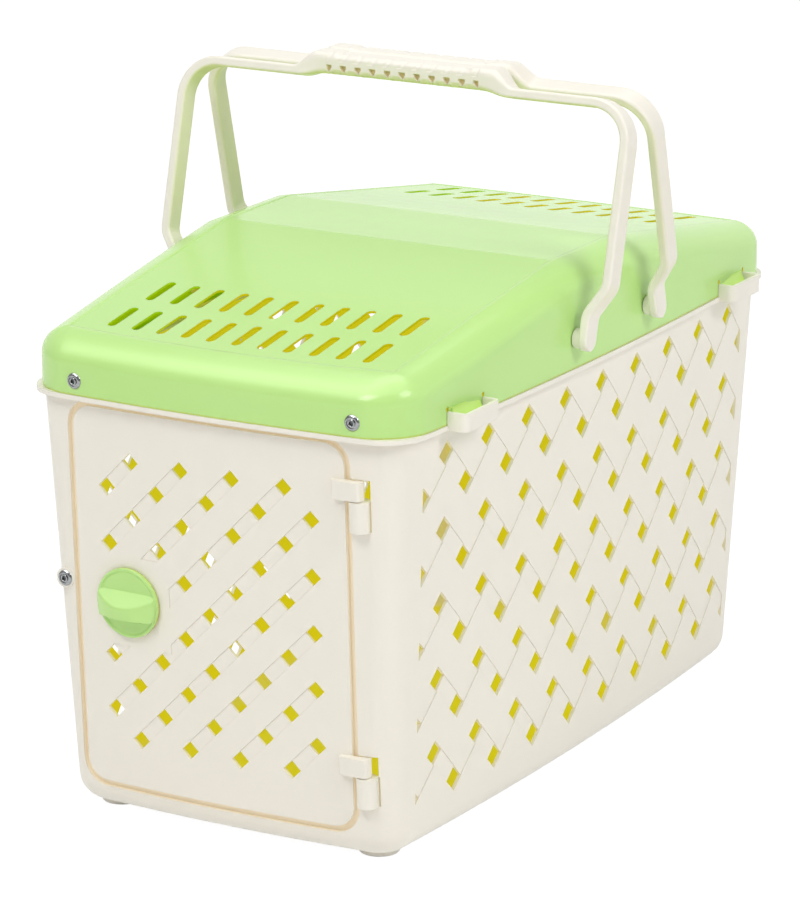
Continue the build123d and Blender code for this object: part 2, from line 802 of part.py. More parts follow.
with BuildPart() as front_handle:
    with BuildSketch(bail_plane):
        with BuildLine():
            FilletPolyline(
                (eye_x, 0),
                (eye_x, leg_bend_start),
                (leg_x, leg_bend_end),
                (leg_x, bar_height),
                (grip_half_length + grip_ramp, bar_height),
                (grip_half_length, bar_height + grip_rise),
                (grip_half_length - grip_edge, bar_height + grip_rise),
                radius=(leg_bend_radius, leg_bend_radius, bar_corner_radius, leg_bend_radius, grip_edge),
            )
        trace(line_width=strap_thickness)
    extrude(amount=strap_depth / 2, both=True)
    with BuildSketch(Plane.YZ.offset(eye_inner_x)):
        with Locations((-pivot_y, pivot_height)):
            Circle(strap_depth / 2)
    extrude(amount=strap_thickness)
    strap_faces = front_handle.faces().filter_by(Axis((0, 0, 0), bail_plane.z_dir))
    fillet(strap_faces.edges(), strap_edge)
    mirror(about=Plane.YZ)
    # Half of the hand grip, flat towards the other handle, with a row of pockets along its outer face
    grip_centre_y = -(grip_gap + grip_depth) / 2
    with BuildSketch(Plane.YZ):
        with Locations((grip_centre_y, grip_bottom_height + grip_height / 2)):
            RectangleRounded(grip_depth, grip_height, grip_edge)
    extrude(amount=grip_half_length, both=True)
    with BuildSketch(Plane.XZ.offset(grip_gap / 2 + grip_depth)):
        with Locations((0, grip_bottom_height + grip_pocket_height)):
            with GridLocations(grip_pocket_pitch, 0, grip_pockets, 1):
                RegularPolygon(grip_pocket_size / 2, 3, rotation=grip_pocket_turn)
    extrude(amount=-grip_pocket_depth, mode=Mode.SUBTRACT)
    # Pivots: a spacer boss, a pin through the lid wall and a snap head split by a slit
    for side in (-1, 1):
        outward = Plane(origin=(0, -pivot_y, pivot_height), x_dir=(0, side, 0), z_dir=(side, 0, 0))
        with BuildSketch(outward.offset(pivot_wall_x + seat_gap)):
            Circle(pivot_boss_radius)
        extrude(amount=eye_inner_x - pivot_wall_x - seat_gap)
        with BuildSketch(outward.offset(pivot_head_x)):
            Circle(pivot_pin_radius)
        extrude(amount=eye_inner_x - pivot_head_x)
        with BuildSketch(outward.offset(pivot_head_x)):
            Circle(pivot_head_radius)
        extrude(amount=-pivot_head_length, taper=pivot_head_taper)
        with BuildSketch(outward.offset(pivot_head_x - pivot_head_length)):
            Rectangle(pivot_slit, 2 * pivot_head_radius)
        extrude(amount=pivot_head_length, mode=Mode.SUBTRACT)
front_handle.part.label = "front_handle"
export_step(front_handle.part, "parts/front_handle.step")

with BuildPart() as rear_handle:
    add(front_handle.part.rotate(Axis.Z, 180))
rear_handle.part.label = "rear_handle"
export_step(rear_handle.part, "parts/rear_handle.step")
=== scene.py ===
"""Looks of a pet carrier basket.

A cream lattice basket with a hinged door, a lime lid with slots and two folding cream handles, built round
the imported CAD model. Lengths in the classes are in millimetres and become metres when a mesh is made.
"""

import logging
import math
from dataclasses import dataclass
from enum import Enum

import bpy
import numpy as np
from mathutils import Matrix, Vector


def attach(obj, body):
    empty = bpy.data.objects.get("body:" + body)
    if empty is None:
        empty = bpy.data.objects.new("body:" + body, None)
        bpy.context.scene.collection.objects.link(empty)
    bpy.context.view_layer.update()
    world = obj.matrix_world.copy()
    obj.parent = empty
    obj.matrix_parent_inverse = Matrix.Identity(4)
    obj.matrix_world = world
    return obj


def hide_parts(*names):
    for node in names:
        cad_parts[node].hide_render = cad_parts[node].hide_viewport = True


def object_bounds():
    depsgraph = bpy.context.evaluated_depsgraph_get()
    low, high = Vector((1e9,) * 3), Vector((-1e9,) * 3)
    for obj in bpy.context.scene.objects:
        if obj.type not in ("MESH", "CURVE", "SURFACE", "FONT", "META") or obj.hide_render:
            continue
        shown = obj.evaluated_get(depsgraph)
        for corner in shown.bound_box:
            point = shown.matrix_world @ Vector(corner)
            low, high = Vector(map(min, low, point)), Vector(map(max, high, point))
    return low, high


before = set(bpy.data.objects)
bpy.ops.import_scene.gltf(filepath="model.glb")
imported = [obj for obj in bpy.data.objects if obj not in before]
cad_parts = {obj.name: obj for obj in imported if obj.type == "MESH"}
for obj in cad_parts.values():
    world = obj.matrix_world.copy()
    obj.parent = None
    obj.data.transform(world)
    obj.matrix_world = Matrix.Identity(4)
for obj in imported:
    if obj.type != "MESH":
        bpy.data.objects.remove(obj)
CAD_LOW, CAD_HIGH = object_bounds()

LOG = logging.getLogger("pet_carrier")
MM = 0.001
TOUCH = 0.01
TINY = 1e-6
PHOTO_WIDTH, PHOTO_HEIGHT = 800, 898

Array = np.ndarray
Pair = tuple[float, float]
Socket = bpy.types.NodeSocket


class Body(Enum):
    """Moving bodies of the carrier, as the CAD record names them."""

    CARRIER = "carrier"
    DOOR = "door"
    LATCH = "latch"
    FRONT_HANDLE = "front_handle"
    REAR_HANDLE = "rear_handle"


class Slot(Enum):
    """Material slots of the record."""

    CREAM = "cream_plastic"
    LIME = "lime_plastic"
    RIVET = "aluminium_rivet"
    PIN = "steel_pin"
    PLATE = "steel_plate"


# Finishes


def linear(code: str) -> tuple[float, ...]:
    """Turn an sRGB hex colour into linear light.

    Args:
        code: six hex digits with a leading hash.

    Returns:
        Linear red, green, blue and an alpha of one.
    """
    levels = np.array([int(code[i : i + 2], 16) for i in (1, 3, 5)]) / 255.0
    curve = np.where(levels <= 0.04045, levels / 12.92, ((levels + 0.055) / 1.055) ** 2.4)
    return (*curve.tolist(), 1.0)


@dataclass(frozen=True)
class NodeKit:
    """Adds shader nodes to one tree and hands back their sockets."""

    tree: bpy.types.NodeTree

    def feed(self, node: bpy.types.Node, **inputs: object) -> None:
        """Set or link the inputs of a node.

        Args:
            node: the node.
            inputs: values or sockets, by name with underscores for spaces, or by i and a number.
        """
        for name, value in inputs.items():
            key = int(name[1:]) if name[0] == "i" and name[1:].isdigit() else name.replace("_", " ")
            if isinstance(value, Socket):
                self.tree.links.new(value, node.inputs[key])
            else:
                node.inputs[key].default_value = value

    def add(self, kind: str, settings: dict[str, object] | None = None, **inputs: object) -> bpy.types.Node:
        """Add a node.

        Args:
            kind: the node's type name, without the start that all share.
            settings: attributes of the node.
            inputs: its inputs, as feed takes them.

        Returns:
            The new node.
        """
        node = self.tree.nodes.new("ShaderNode" + kind)
        for name, value in (settings or {}).items():
            setattr(node, name, value)
        self.feed(node, **inputs)
        return node

    def blend(self, share: object, first: object, second: object) -> Socket:
        """Mix two colours.

        Args:
            share: share of the second colour.
            first: the first colour.
            second: the second colour.

        Returns:
            The mixed colour.
        """
        return self.add("Mix", {"data_type": "RGBA"}, Factor=share, i6=first, i7=second).outputs[2]

    def pick(self, share: object, first: object, second: object) -> Socket:
        """Mix two numbers.

        Args:
            share: share of the second number.
            first: the first number.
            second: the second number.

        Returns:
            The mixed number.
        """
        return self.add("Mix", {"data_type": "FLOAT"}, i0=share, i2=first, i3=second).outputs[0]

    def math(self, operation: str, *values: object) -> Socket:
        """Work out a number.

        Args:
            operation: name of the operation.
            values: its operands, in order.

        Returns:
            The result.
        """
        operands = {f"i{place}": value for place, value in enumerate(values)}
        return self.add("Math", {"operation": operation}, **operands).outputs["Value"]

    def ramp(self, value: object, start: float, stop: float, low: float = 0.0, high: float = 1.0) -> Socket:
        """Map a range of a number onto another and clamp it there.

        Args:
            value: the number.
            start: where it gives the low end.
            stop: where it gives the high end.
            low: the low end.
            high: the high end.

        Returns:
            The mapped number.
        """
        ends = {"From_Min": start, "From_Max": stop, "To_Min": low, "To_Max": high}
        return self.add("MapRange", {"clamp": True}, Value=value, **ends).outputs["Result"]

    def noise(self, place: Socket, size_mm: float, detail: float) -> Socket:
        """Soft random field.

        Args:
            place: where it is read.
            size_mm: size of its features.
            detail: how many finer layers it has.

        Returns:
            The field, 0 to 1.
        """
        return self.add("TexNoise", Vector=place, Scale=1 / (size_mm * MM), Detail=detail).outputs["Fac"]


def new_material(name: str) -> tuple[bpy.types.Material, NodeKit, bpy.types.Node, Socket]:
    """Make a plain material.

    Args:
        name: its name.

    Returns:
        The material, a kit for its nodes, its shader and the socket of the object's coordinates.
    """
    material = bpy.data.materials.new(name)
    material.use_nodes = True
    kit = NodeKit(material.node_tree)
    return material, kit, kit.tree.nodes["Principled BSDF"], kit.add("TexCoord").outputs["Object"]


@dataclass(frozen=True)
class MouldedPolypropylene:
    """Moulded polypropylene: even colour, satin skin, fine grain, and painted light in the depth of the wall.

    The eye sees a soft broad sheen and faint cloudiness of flow. Where light has passed through the wall,
    the saturated, glowing colour is painted light, and the shade colour is painted shade.
    """

    name: str
    skin: str
    cloud: str
    painted_mid_light: str
    painted_inner_light: str
    shade: str
    roughness: float
    glow: float
    edge_radius_mm: float
    painted_glow_power: float = 1.0
    painted_bounce_light: str = ""
    bounce_from_mm: float = 285.0
    bounce_fade_mm: float = 40.0
    looks_down: Pair = (0.05, -0.75)
    looks_inwards: Pair = (-0.02, -0.14)
    inward_share: float = 0.42
    grain_mm: float = 0.9
    grain_strength: float = 0.05
    grain_height_mm: float = 0.1
    cloud_mm: float = 90.0
    sheen_mm: float = 14.0
    sheen_spread: Pair = (-0.04, 0.05)
    refraction: float = 1.49

    def make(self) -> bpy.types.Material:
        """Build the material.

        Returns:
            The material, which reads the attributes "depth" and "shade" where a mesh has them.
        """
        material, kit, shader, place = new_material(self.name)
        depth = kit.add("Attribute", {"attribute_name": "depth"}).outputs["Fac"]
        shaded = kit.add("Attribute", {"attribute_name": "shade"}).outputs["Fac"]
        skin = kit.blend(kit.noise(place, self.cloud_mm, detail=2.0), linear(self.skin), linear(self.cloud))
        # Painted light and shade: "depth" blends towards the painted mid and inner colours, "shade" towards
        # painted shade.
        painted_halfway = kit.blend(kit.ramp(depth, 0.0, 0.5), skin, linear(self.painted_mid_light))
        tinted = kit.blend(kit.ramp(depth, 0.5, 1.0), painted_halfway, linear(self.painted_inner_light))
        toned = kit.blend(shaded, tinted, linear(self.shade))
        spread = [self.roughness + part for part in self.sheen_spread]
        bump = kit.add(
            "Bump",
            Strength=self.grain_strength,
            Distance=self.grain_height_mm * MM,
            Height=kit.noise(place, self.grain_mm, detail=1.0),
            Normal=kit.add("Bevel", {"samples": 4}, Radius=self.edge_radius_mm * MM).outputs["Normal"],
        )
        # Painted light: the emission makes the faces marked by "depth" glow, though they are no lamp.
        kit.feed(
            shader,
            Base_Color=self.lit_from_below(kit, place, toned) if self.painted_bounce_light else toned,
            Emission_Color=toned,
            Emission_Strength=kit.math("MULTIPLY", kit.math("POWER", depth, self.painted_glow_power), self.glow),
            Roughness=kit.ramp(kit.noise(place, self.sheen_mm, detail=3.0), 0.0, 1.0, *spread),
            Normal=bump.outputs["Normal"],
            IOR=self.refraction,
        )
        return material

    def lit_from_below(self, kit: NodeKit, place: Socket, colour: Socket) -> Socket:
        """Paint faces above the lid that look down or inwards with a tint, painted light where coloured light
        from the lid lands.

        Args:
            kit: the material's nodes.
            place: the object's coordinates.
            colour: the colour so far.

        Returns:
            The tinted colour.
        """
        facing = kit.add("SeparateXYZ", Vector=kit.add("NewGeometry").outputs["Normal"]).outputs
        at = kit.add("SeparateXYZ", Vector=place).outputs
        inner = kit.ramp(kit.math("MULTIPLY", facing["X"], at["X"]), *self.looks_inwards)
        down = kit.ramp(facing["Z"], *self.looks_down)
        both = kit.math("MAXIMUM", down, kit.math("MULTIPLY", inner, self.inward_share))
        low = self.bounce_from_mm * MM
        above = kit.ramp(at["Z"], low, low + self.bounce_fade_mm * MM)
        return kit.blend(kit.math("MULTIPLY", both, above), colour, linear(self.painted_bounce_light))


@dataclass(frozen=True)
class Metal:
    """Turned, pressed or plated metal: fine random scratches break up a clear reflection."""

    name: str
    colour: str
    stain: str
    roughness: float
    roughness_spread: Pair = (-0.06, 0.10)
    scratch_mm: float = 3.0
    stretch: float = 6.0
    scratch_strength: float = 0.08
    scratch_height_mm: float = 0.05

    def make(self) -> bpy.types.Material:
        """Build the material.

        Returns:
            A metal with scratches in its roughness and a faint stain in its colour.
        """
        material, kit, shader, place = new_material(self.name)
        stretched = kit.add("Mapping", Vector=place, Scale=(1.0, 1.0, self.stretch)).outputs["Vector"]
        scratch = kit.noise(stretched, self.scratch_mm, detail=4.0)
        height = self.scratch_height_mm * MM
        bump = kit.add("Bump", Strength=self.scratch_strength, Distance=height, Height=scratch)
        spread = [self.roughness + part for part in self.roughness_spread]
        kit.feed(
            shader,
            Base_Color=kit.blend(scratch, linear(self.colour), linear(self.stain)),
            Roughness=kit.ramp(scratch, 0.0, 1.0, *spread),
            Normal=bump.outputs["Normal"],
            Metallic=1.0,
        )
        return material


# Painted light and shade: the painted mid and inner colours, the glow, the shade and the bounce colours stand
# for light, not for the plastic.
RECIPES: dict[Slot, MouldedPolypropylene | Metal] = {
    Slot.CREAM: MouldedPolypropylene(
        name="cream_moulded_polypropylene",
        skin="#EEE9DC",
        cloud="#F1ECE0",
        painted_mid_light="#E0D2B7",
        painted_inner_light="#DACE22",
        shade="#D3BE84",
        roughness=0.38,
        glow=0.355,
        painted_glow_power=0.6,
        painted_bounce_light="#DCDC9A",
        edge_radius_mm=0.28,
    ),
    Slot.LIME: MouldedPolypropylene(
        name="lime_moulded_polypropylene",
        skin="#BBE587",
        cloud="#BFE78E",
        painted_mid_light="#C4E85C",
        painted_inner_light="#98C400",
        shade="#C6BC06",
        roughness=0.24,
        glow=0.26,
        edge_radius_mm=0.7,
    ),
    Slot.RIVET: Metal("bright_aluminium_rivet", colour="#B9BBBB", stain="#85888A", roughness=0.14),
    Slot.PIN: Metal("plain_steel_pin", colour="#7C7E80", stain="#4E5052", roughness=0.34),
    Slot.PLATE: Metal("zinc_plated_steel", colour="#C6C8CA", stain="#9FA3A8", roughness=0.30),
}


class Finishes:
    """The finished materials, one for each slot of the record."""

    def __init__(self) -> None:
        """Build every material once."""
        self.of = {slot: recipe.make() for slot, recipe in RECIPES.items()}


# Mesh building


def add_object(name: str, data: bpy.types.ID) -> bpy.types.Object:
    """Make an object and put it into the scene.

    Args:
        name: its name.
        data: its mesh, lamp or camera.

    Returns:
        The object.
    """
    made = bpy.data.objects.new(name, data)
    bpy.context.scene.collection.objects.link(made)
    return made


def read(items: bpy.types.bpy_prop_collection, name: str, width: int = 1, kind: type = np.int32) -> Array:
    """Read a property of many mesh items at once.

    Args:
        items: points, edges, corners, faces or values.
        name: the property.
        width: how many numbers each item has.
        kind: what kind of number.

    Returns:
        The numbers, one row for each item where the width is more than one.
    """
    values = np.empty(len(items) * width, kind)
    items.foreach_get(name, values)
    return values.reshape(-1, width) if width > 1 else values


@dataclass
class Shell:
    """Points and faces of a mesh, in millimetres."""

    points: Array
    faces: Array

    def __add__(self, other: "Shell") -> "Shell":
        """Join two shells without merging them.

        Args:
            other: the other shell.

        Returns:
            One shell with the points and faces of both.
        """
        shifted = other.faces + len(self.points)
        return Shell(np.vstack([self.points, other.points]), np.vstack([self.faces, shifted]))

    def reversed(self) -> "Shell":
        """Turn the faces over.

        Returns:
            The same shell with its faces looking the other way.
        """
        return Shell(self.points, self.faces[:, ::-1])


def grid_shell(grid: Array, closed_across: bool = False, keep: Array | None = None) -> Shell:
    """Turn a grid of points into quads.

    Args:
        grid: points, rows by columns by three.
        closed_across: join the last column to the first.
        keep: which cells become faces, rows - 1 by cells across. All do without it.

    Returns:
        The shell. Cell (r, c) has corners (r, c), (r, c + 1), (r + 1, c + 1) and (r + 1, c).
    """
    rows, columns = grid.shape[:2]
    index = np.arange(rows * columns).reshape(rows, columns)
    if closed_across:
        index = np.column_stack([index, index[:, 0]])
    quads = np.stack([index[:-1, :-1], index[:-1, 1:], index[1:, 1:], index[1:, :-1]], axis=-1)
    if keep is not None:
        quads = quads[keep]
    return Shell(grid.reshape(-1, 3), quads.reshape(-1, 4))


def build_mesh(name: str, shell: Shell, tolerance: float = 0.002) -> tuple[bpy.types.Mesh, Array]:
    """Merge equal points, drop the faces that vanish and make a mesh, in metres.

    Args:
        name: name of the mesh.
        shell: the shell, quads or triangles.
        tolerance: points closer than this become one, in millimetres.

    Returns:
        The mesh, and the place of each of its points in the shell.
    """
    keys = np.round(shell.points / tolerance).astype(np.int64)
    _, first, inverse = np.unique(keys, axis=0, return_index=True, return_inverse=True)
    faces = inverse.reshape(-1)[shell.faces]
    repeats = faces == np.roll(faces, -1, axis=1)
    count = repeats.sum(axis=1)
    blocks = [faces[count == 0]]
    if faces.shape[1] == 4:
        blocks.append(faces[count == 1][~repeats[count == 1]].reshape(-1, 3))
    corners = np.concatenate([block.reshape(-1) for block in blocks]).astype(np.int32)
    totals = np.concatenate([np.full(len(block), block.shape[1], np.int32) for block in blocks])
    starts = np.concatenate([[0], np.cumsum(totals)[:-1]]).astype(np.int32)
    mesh = bpy.data.meshes.new(name)
    mesh.vertices.add(len(first))
    mesh.vertices.foreach_set("co", (shell.points[first] * MM).astype(np.float32).reshape(-1))
    mesh.loops.add(len(corners))
    mesh.loops.foreach_set("vertex_index", corners)
    mesh.polygons.add(len(totals))
    mesh.polygons.foreach_set("loop_start", starts)
    mesh.polygons.foreach_set("loop_total", totals)
    mesh.update(calc_edges=True)
    mesh.validate()
    return mesh, first


@dataclass
class Piece:
    """A finished piece: its mesh, body, slot and the CAD nodes it stands for."""

    name: str
    body: Body
    slot: Slot
    replaces: tuple[str, ...] = ()
    smooth_angle: float = 35.0

    def dress(self, mesh: bpy.types.Mesh, finishes: Finishes) -> bpy.types.Object:
        """Make the object, smooth it and tie it to the frame.

        Args:
            mesh: the piece's mesh in place.
            finishes: the materials.

        Returns:
            The object.
        """
        mesh.polygons.foreach_set("use_smooth", np.ones(len(mesh.polygons), bool))
        mesh.set_sharp_from_angle(angle=math.radians(self.smooth_angle))
        piece = add_object(self.name, mesh)
        mesh.materials.clear()
        mesh.materials.append(finishes.of[self.slot])
        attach(piece, self.body.value)
        if self.replaces:
            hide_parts(*self.replaces)
        LOG.info("%s: %d points, %d faces", self.name, len(mesh.vertices), len(mesh.polygons))
        return piece


def point_places(mesh: bpy.types.Mesh) -> Array:
    """Read the points of a mesh.

    Args:
        mesh: the mesh.

    Returns:
        Its points, in millimetres.
    """
    return read(mesh.vertices, "co", 3, np.float32).astype(float) / MM


def corner_faces(mesh: bpy.types.Mesh) -> tuple[Array, Array, Array]:
    """List the face corners of a mesh.

    Args:
        mesh: the mesh.

    Returns:
        The point of each corner, the face it belongs to, and the first corner of each face.
    """
    corners, totals = read(mesh.loops, "vertex_index"), read(mesh.polygons, "loop_total")
    return corners, np.repeat(np.arange(len(totals)), totals), np.cumsum(totals) - totals


def mark(mesh: bpy.types.Mesh, name: str, values: Array, domain: str = "CORNER") -> None:
    """Write a value for every face corner or point.

    Args:
        mesh: the mesh.
        name: name of the attribute.
        values: one value for each corner or point.
        domain: CORNER or POINT.
    """
    marked = mesh.attributes.new(name, "FLOAT", domain)
    marked.data.foreach_set("value", values.astype(np.float32))


def node_shell(node: str) -> Shell:
    """Triangles of a CAD node.

    Args:
        node: the node's name.

    Returns:
        Its loose triangles, in millimetres.
    """
    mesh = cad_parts[node].data
    mesh.calc_loop_triangles()
    return Shell(point_places(mesh), read(mesh.loop_triangles, "vertices", 3))


def smooth(value: Array, start: float = 0.0, stop: float = 1.0) -> Array:
    """Smooth step t * t * (3 - 2 * t), where t runs from 0 at the start to 1 at the stop.

    Args:
        value: the values.
        start: where the step begins.
        stop: where it ends, which may lie below the start.

    Returns:
        The step of each value, 0 to 1.
    """
    share = np.clip((value - start) / (stop - start), 0, 1)
    return share * share * (3 - 2 * share)


# Shared sizes of the walls


@dataclass(frozen=True)
class WallForm:
    """Plan of the tapered basket and of the lid: four shallow arcs with rounded corners."""

    foot_height: float = 2.5
    rim_height: float = 254.1
    rim_half_width: float = 119.6
    rim_half_length: float = 232.3
    base_half_width: float = 109.7
    base_half_length: float = 220.8
    rim_corner: float = 16.0
    base_corner: float = 22.0
    side_bow: float = 7.9
    end_bow: float = 5.4
    bottom_radius: float = 16.4
    wall: float = 2.2
    flange_top: float = 256.9
    lid_half_width: float = 124.6
    lid_half_length: float = 237.3
    skin_depth: float = 0.7
    fit: float = 0.3

    def halves(self, height: Array | float) -> tuple[Array | float, Array | float, Array | float]:
        """Half sizes of the basket, which grow in step with height.

        Args:
            height: height above the ground.

        Returns:
            Half width, half length and corner radius.
        """
        share = np.clip((height - self.foot_height) / (self.rim_height - self.foot_height), 0, 1)
        half_width = self.base_half_width + share * (self.rim_half_width - self.base_half_width)
        half_length = self.base_half_length + share * (self.rim_half_length - self.base_half_length)
        return half_width, half_length, self.base_corner + share * (self.rim_corner - self.base_corner)

    def inset(self, points: Array) -> Array:
        """Depth of points under the outer skin of the basket.

        The walls are parabolas of half size h + bow * (1 - (along / length)^2). In a corner or at the bottom,
        a and b being the depths under the two faces, it is r - sqrt((r - a)^2 + (r - b)^2).

        Args:
            points: points in millimetres.

        Returns:
            The depth of each point, in millimetres, negative outside.
        """
        across, along, height = np.abs(points[:, 0]), np.abs(points[:, 1]), points[:, 2]
        half_width, half_length, corner = self.halves(height)
        under_side = half_width + self.side_bow * (1 - (along / half_length) ** 2) - across
        under_end = half_length + self.end_bow * (1 - (across / half_width) ** 2) - along
        walls = rounded_depth(under_side, under_end, corner)
        return rounded_depth(walls, height - self.foot_height, np.full_like(walls, self.bottom_radius))

    def arc_radius(self, half_width: float) -> float:
        """Radius of the arc that an end wall follows, through its corners and its bowed middle.

        Args:
            half_width: half width between the corners.

        Returns:
            The radius.
        """
        return (half_width**2 + self.end_bow**2) / (2 * self.end_bow)

    def end_y(self, x: float, half_width: float, half_length: float) -> float:
        """The front arc of an outline.

        Args:
            x: place across the carrier.
            half_width: half width of the outline.
            half_length: half length of the outline.

        Returns:
            The arc's place along the carrier at x.
        """
        radius = self.arc_radius(half_width)
        return radius - half_length - self.end_bow - math.sqrt(radius**2 - x**2)

    def front_y(self, x: float, height: float) -> float:
        """The basket's front wall.

        Args:
            x: place across the carrier.
            height: height above the ground.

        Returns:
            The wall's place along the carrier.
        """
        half_width, half_length, _ = self.halves(height)
        return self.end_y(x, float(half_width), float(half_length))

    def lid_side_x(self, y: float) -> float:
        """The lid's long wall.

        Args:
            y: place along the carrier.

        Returns:
            The wall's distance from the middle.
        """
        return self.lid_half_width + self.side_bow * (1 - (y / self.lid_half_length) ** 2)


def rounded_depth(first: Array, second: Array, radius: Array) -> Array:
    """Depth under two faces that meet in a rounding: r - sqrt((r - a)^2 + (r - b)^2) near the corner.

    Args:
        first: depth under the first face.
        second: depth under the second face.
        radius: radius of the rounding.

    Returns:
        The depth under both.
    """
    near = (first < radius) & (second < radius)
    return np.where(near, radius - np.hypot(radius - first, radius - second), np.minimum(first, second))


WALLS = WallForm()


@dataclass
class Basket:
    """The lattice tub and its door: CAD solids, merged, with the depth of the wall marked for painted light.
    """

    door_half_width: float = 90.05
    door_half_height: float = 114.9
    door_centre_x: float = -4.55
    door_centre_height: float = 135.4
    stop_reach: float = 9.0
    stop_depth: float = 2.0
    gap_painted_tone: float = 0.5
    painted_glow_margin: float = 0.1
    hinge_x: float = 94.6
    hinge_reach: float = 9.0
    hinge_front: float = -214.0
    hinge_painted_glow: float = 0.42
    edge_painted_glow: float = 0.2
    edge_spread: float = 0.7

    def build(self, finishes: Finishes) -> None:
        """Build the tub and the door. Faces that span the wall get a pale colour and a little glow, a painted
        highlight.

        Args:
            finishes: the materials.
        """
        for node, body in (("basket", Body.CARRIER), ("door", Body.DOOR)):
            shell = node_shell(node)
            mesh, first = build_mesh(f"{node}_moulding", shell)
            corners, faces, starts = corner_faces(mesh)
            # Painted light: the inner face is painted to glow, and faces across the wall get a small painted
            # highlight.
            painted_glow = self.painted_glow(shell.points[first])[corners]
            spread = (np.maximum.reduceat(painted_glow, starts) - np.minimum.reduceat(painted_glow, starts))[faces]
            mark(mesh, "depth", np.where(spread > self.edge_spread, self.edge_painted_glow, painted_glow))
            Piece(f"{node}_moulding", body, Slot.CREAM, (node,), smooth_angle=38.0).dress(mesh, finishes)

    def painted_glow(self, points: Array) -> Array:
        """How much painted light each point gets, a warm glowing colour: none on the skin, full at the inner
        face.

        Round the door the stop is seen from outside only, in the gap, so it gets half: a painted tan for the
        gap's light and shade.

        Args:
            points: points in millimetres.

        Returns:
            The share of painted light, 0 to 1.
        """
        inset = WALLS.inset(points)
        painted_glow = np.clip((inset - WALLS.skin_depth) / (WALLS.wall - WALLS.skin_depth - self.painted_glow_margin), 0, 1)
        beside = np.abs(points[:, 0] - self.door_centre_x) - self.door_half_width
        above = np.abs(points[:, 2] - self.door_centre_height) - self.door_half_height
        on_stop = (np.abs(np.maximum(beside, above)) < self.stop_reach) & (points[:, 1] < 0)
        on_stop &= inset < WALLS.wall + self.stop_depth
        by_hinge = np.abs(points[:, 0] - self.hinge_x) < self.hinge_reach
        by_hinge &= points[:, 1] < self.hinge_front
        painted_glow = np.where(on_stop, np.minimum(painted_glow, self.gap_painted_tone), painted_glow)
        return np.where(by_hinge, np.minimum(painted_glow, self.hinge_painted_glow), painted_glow)


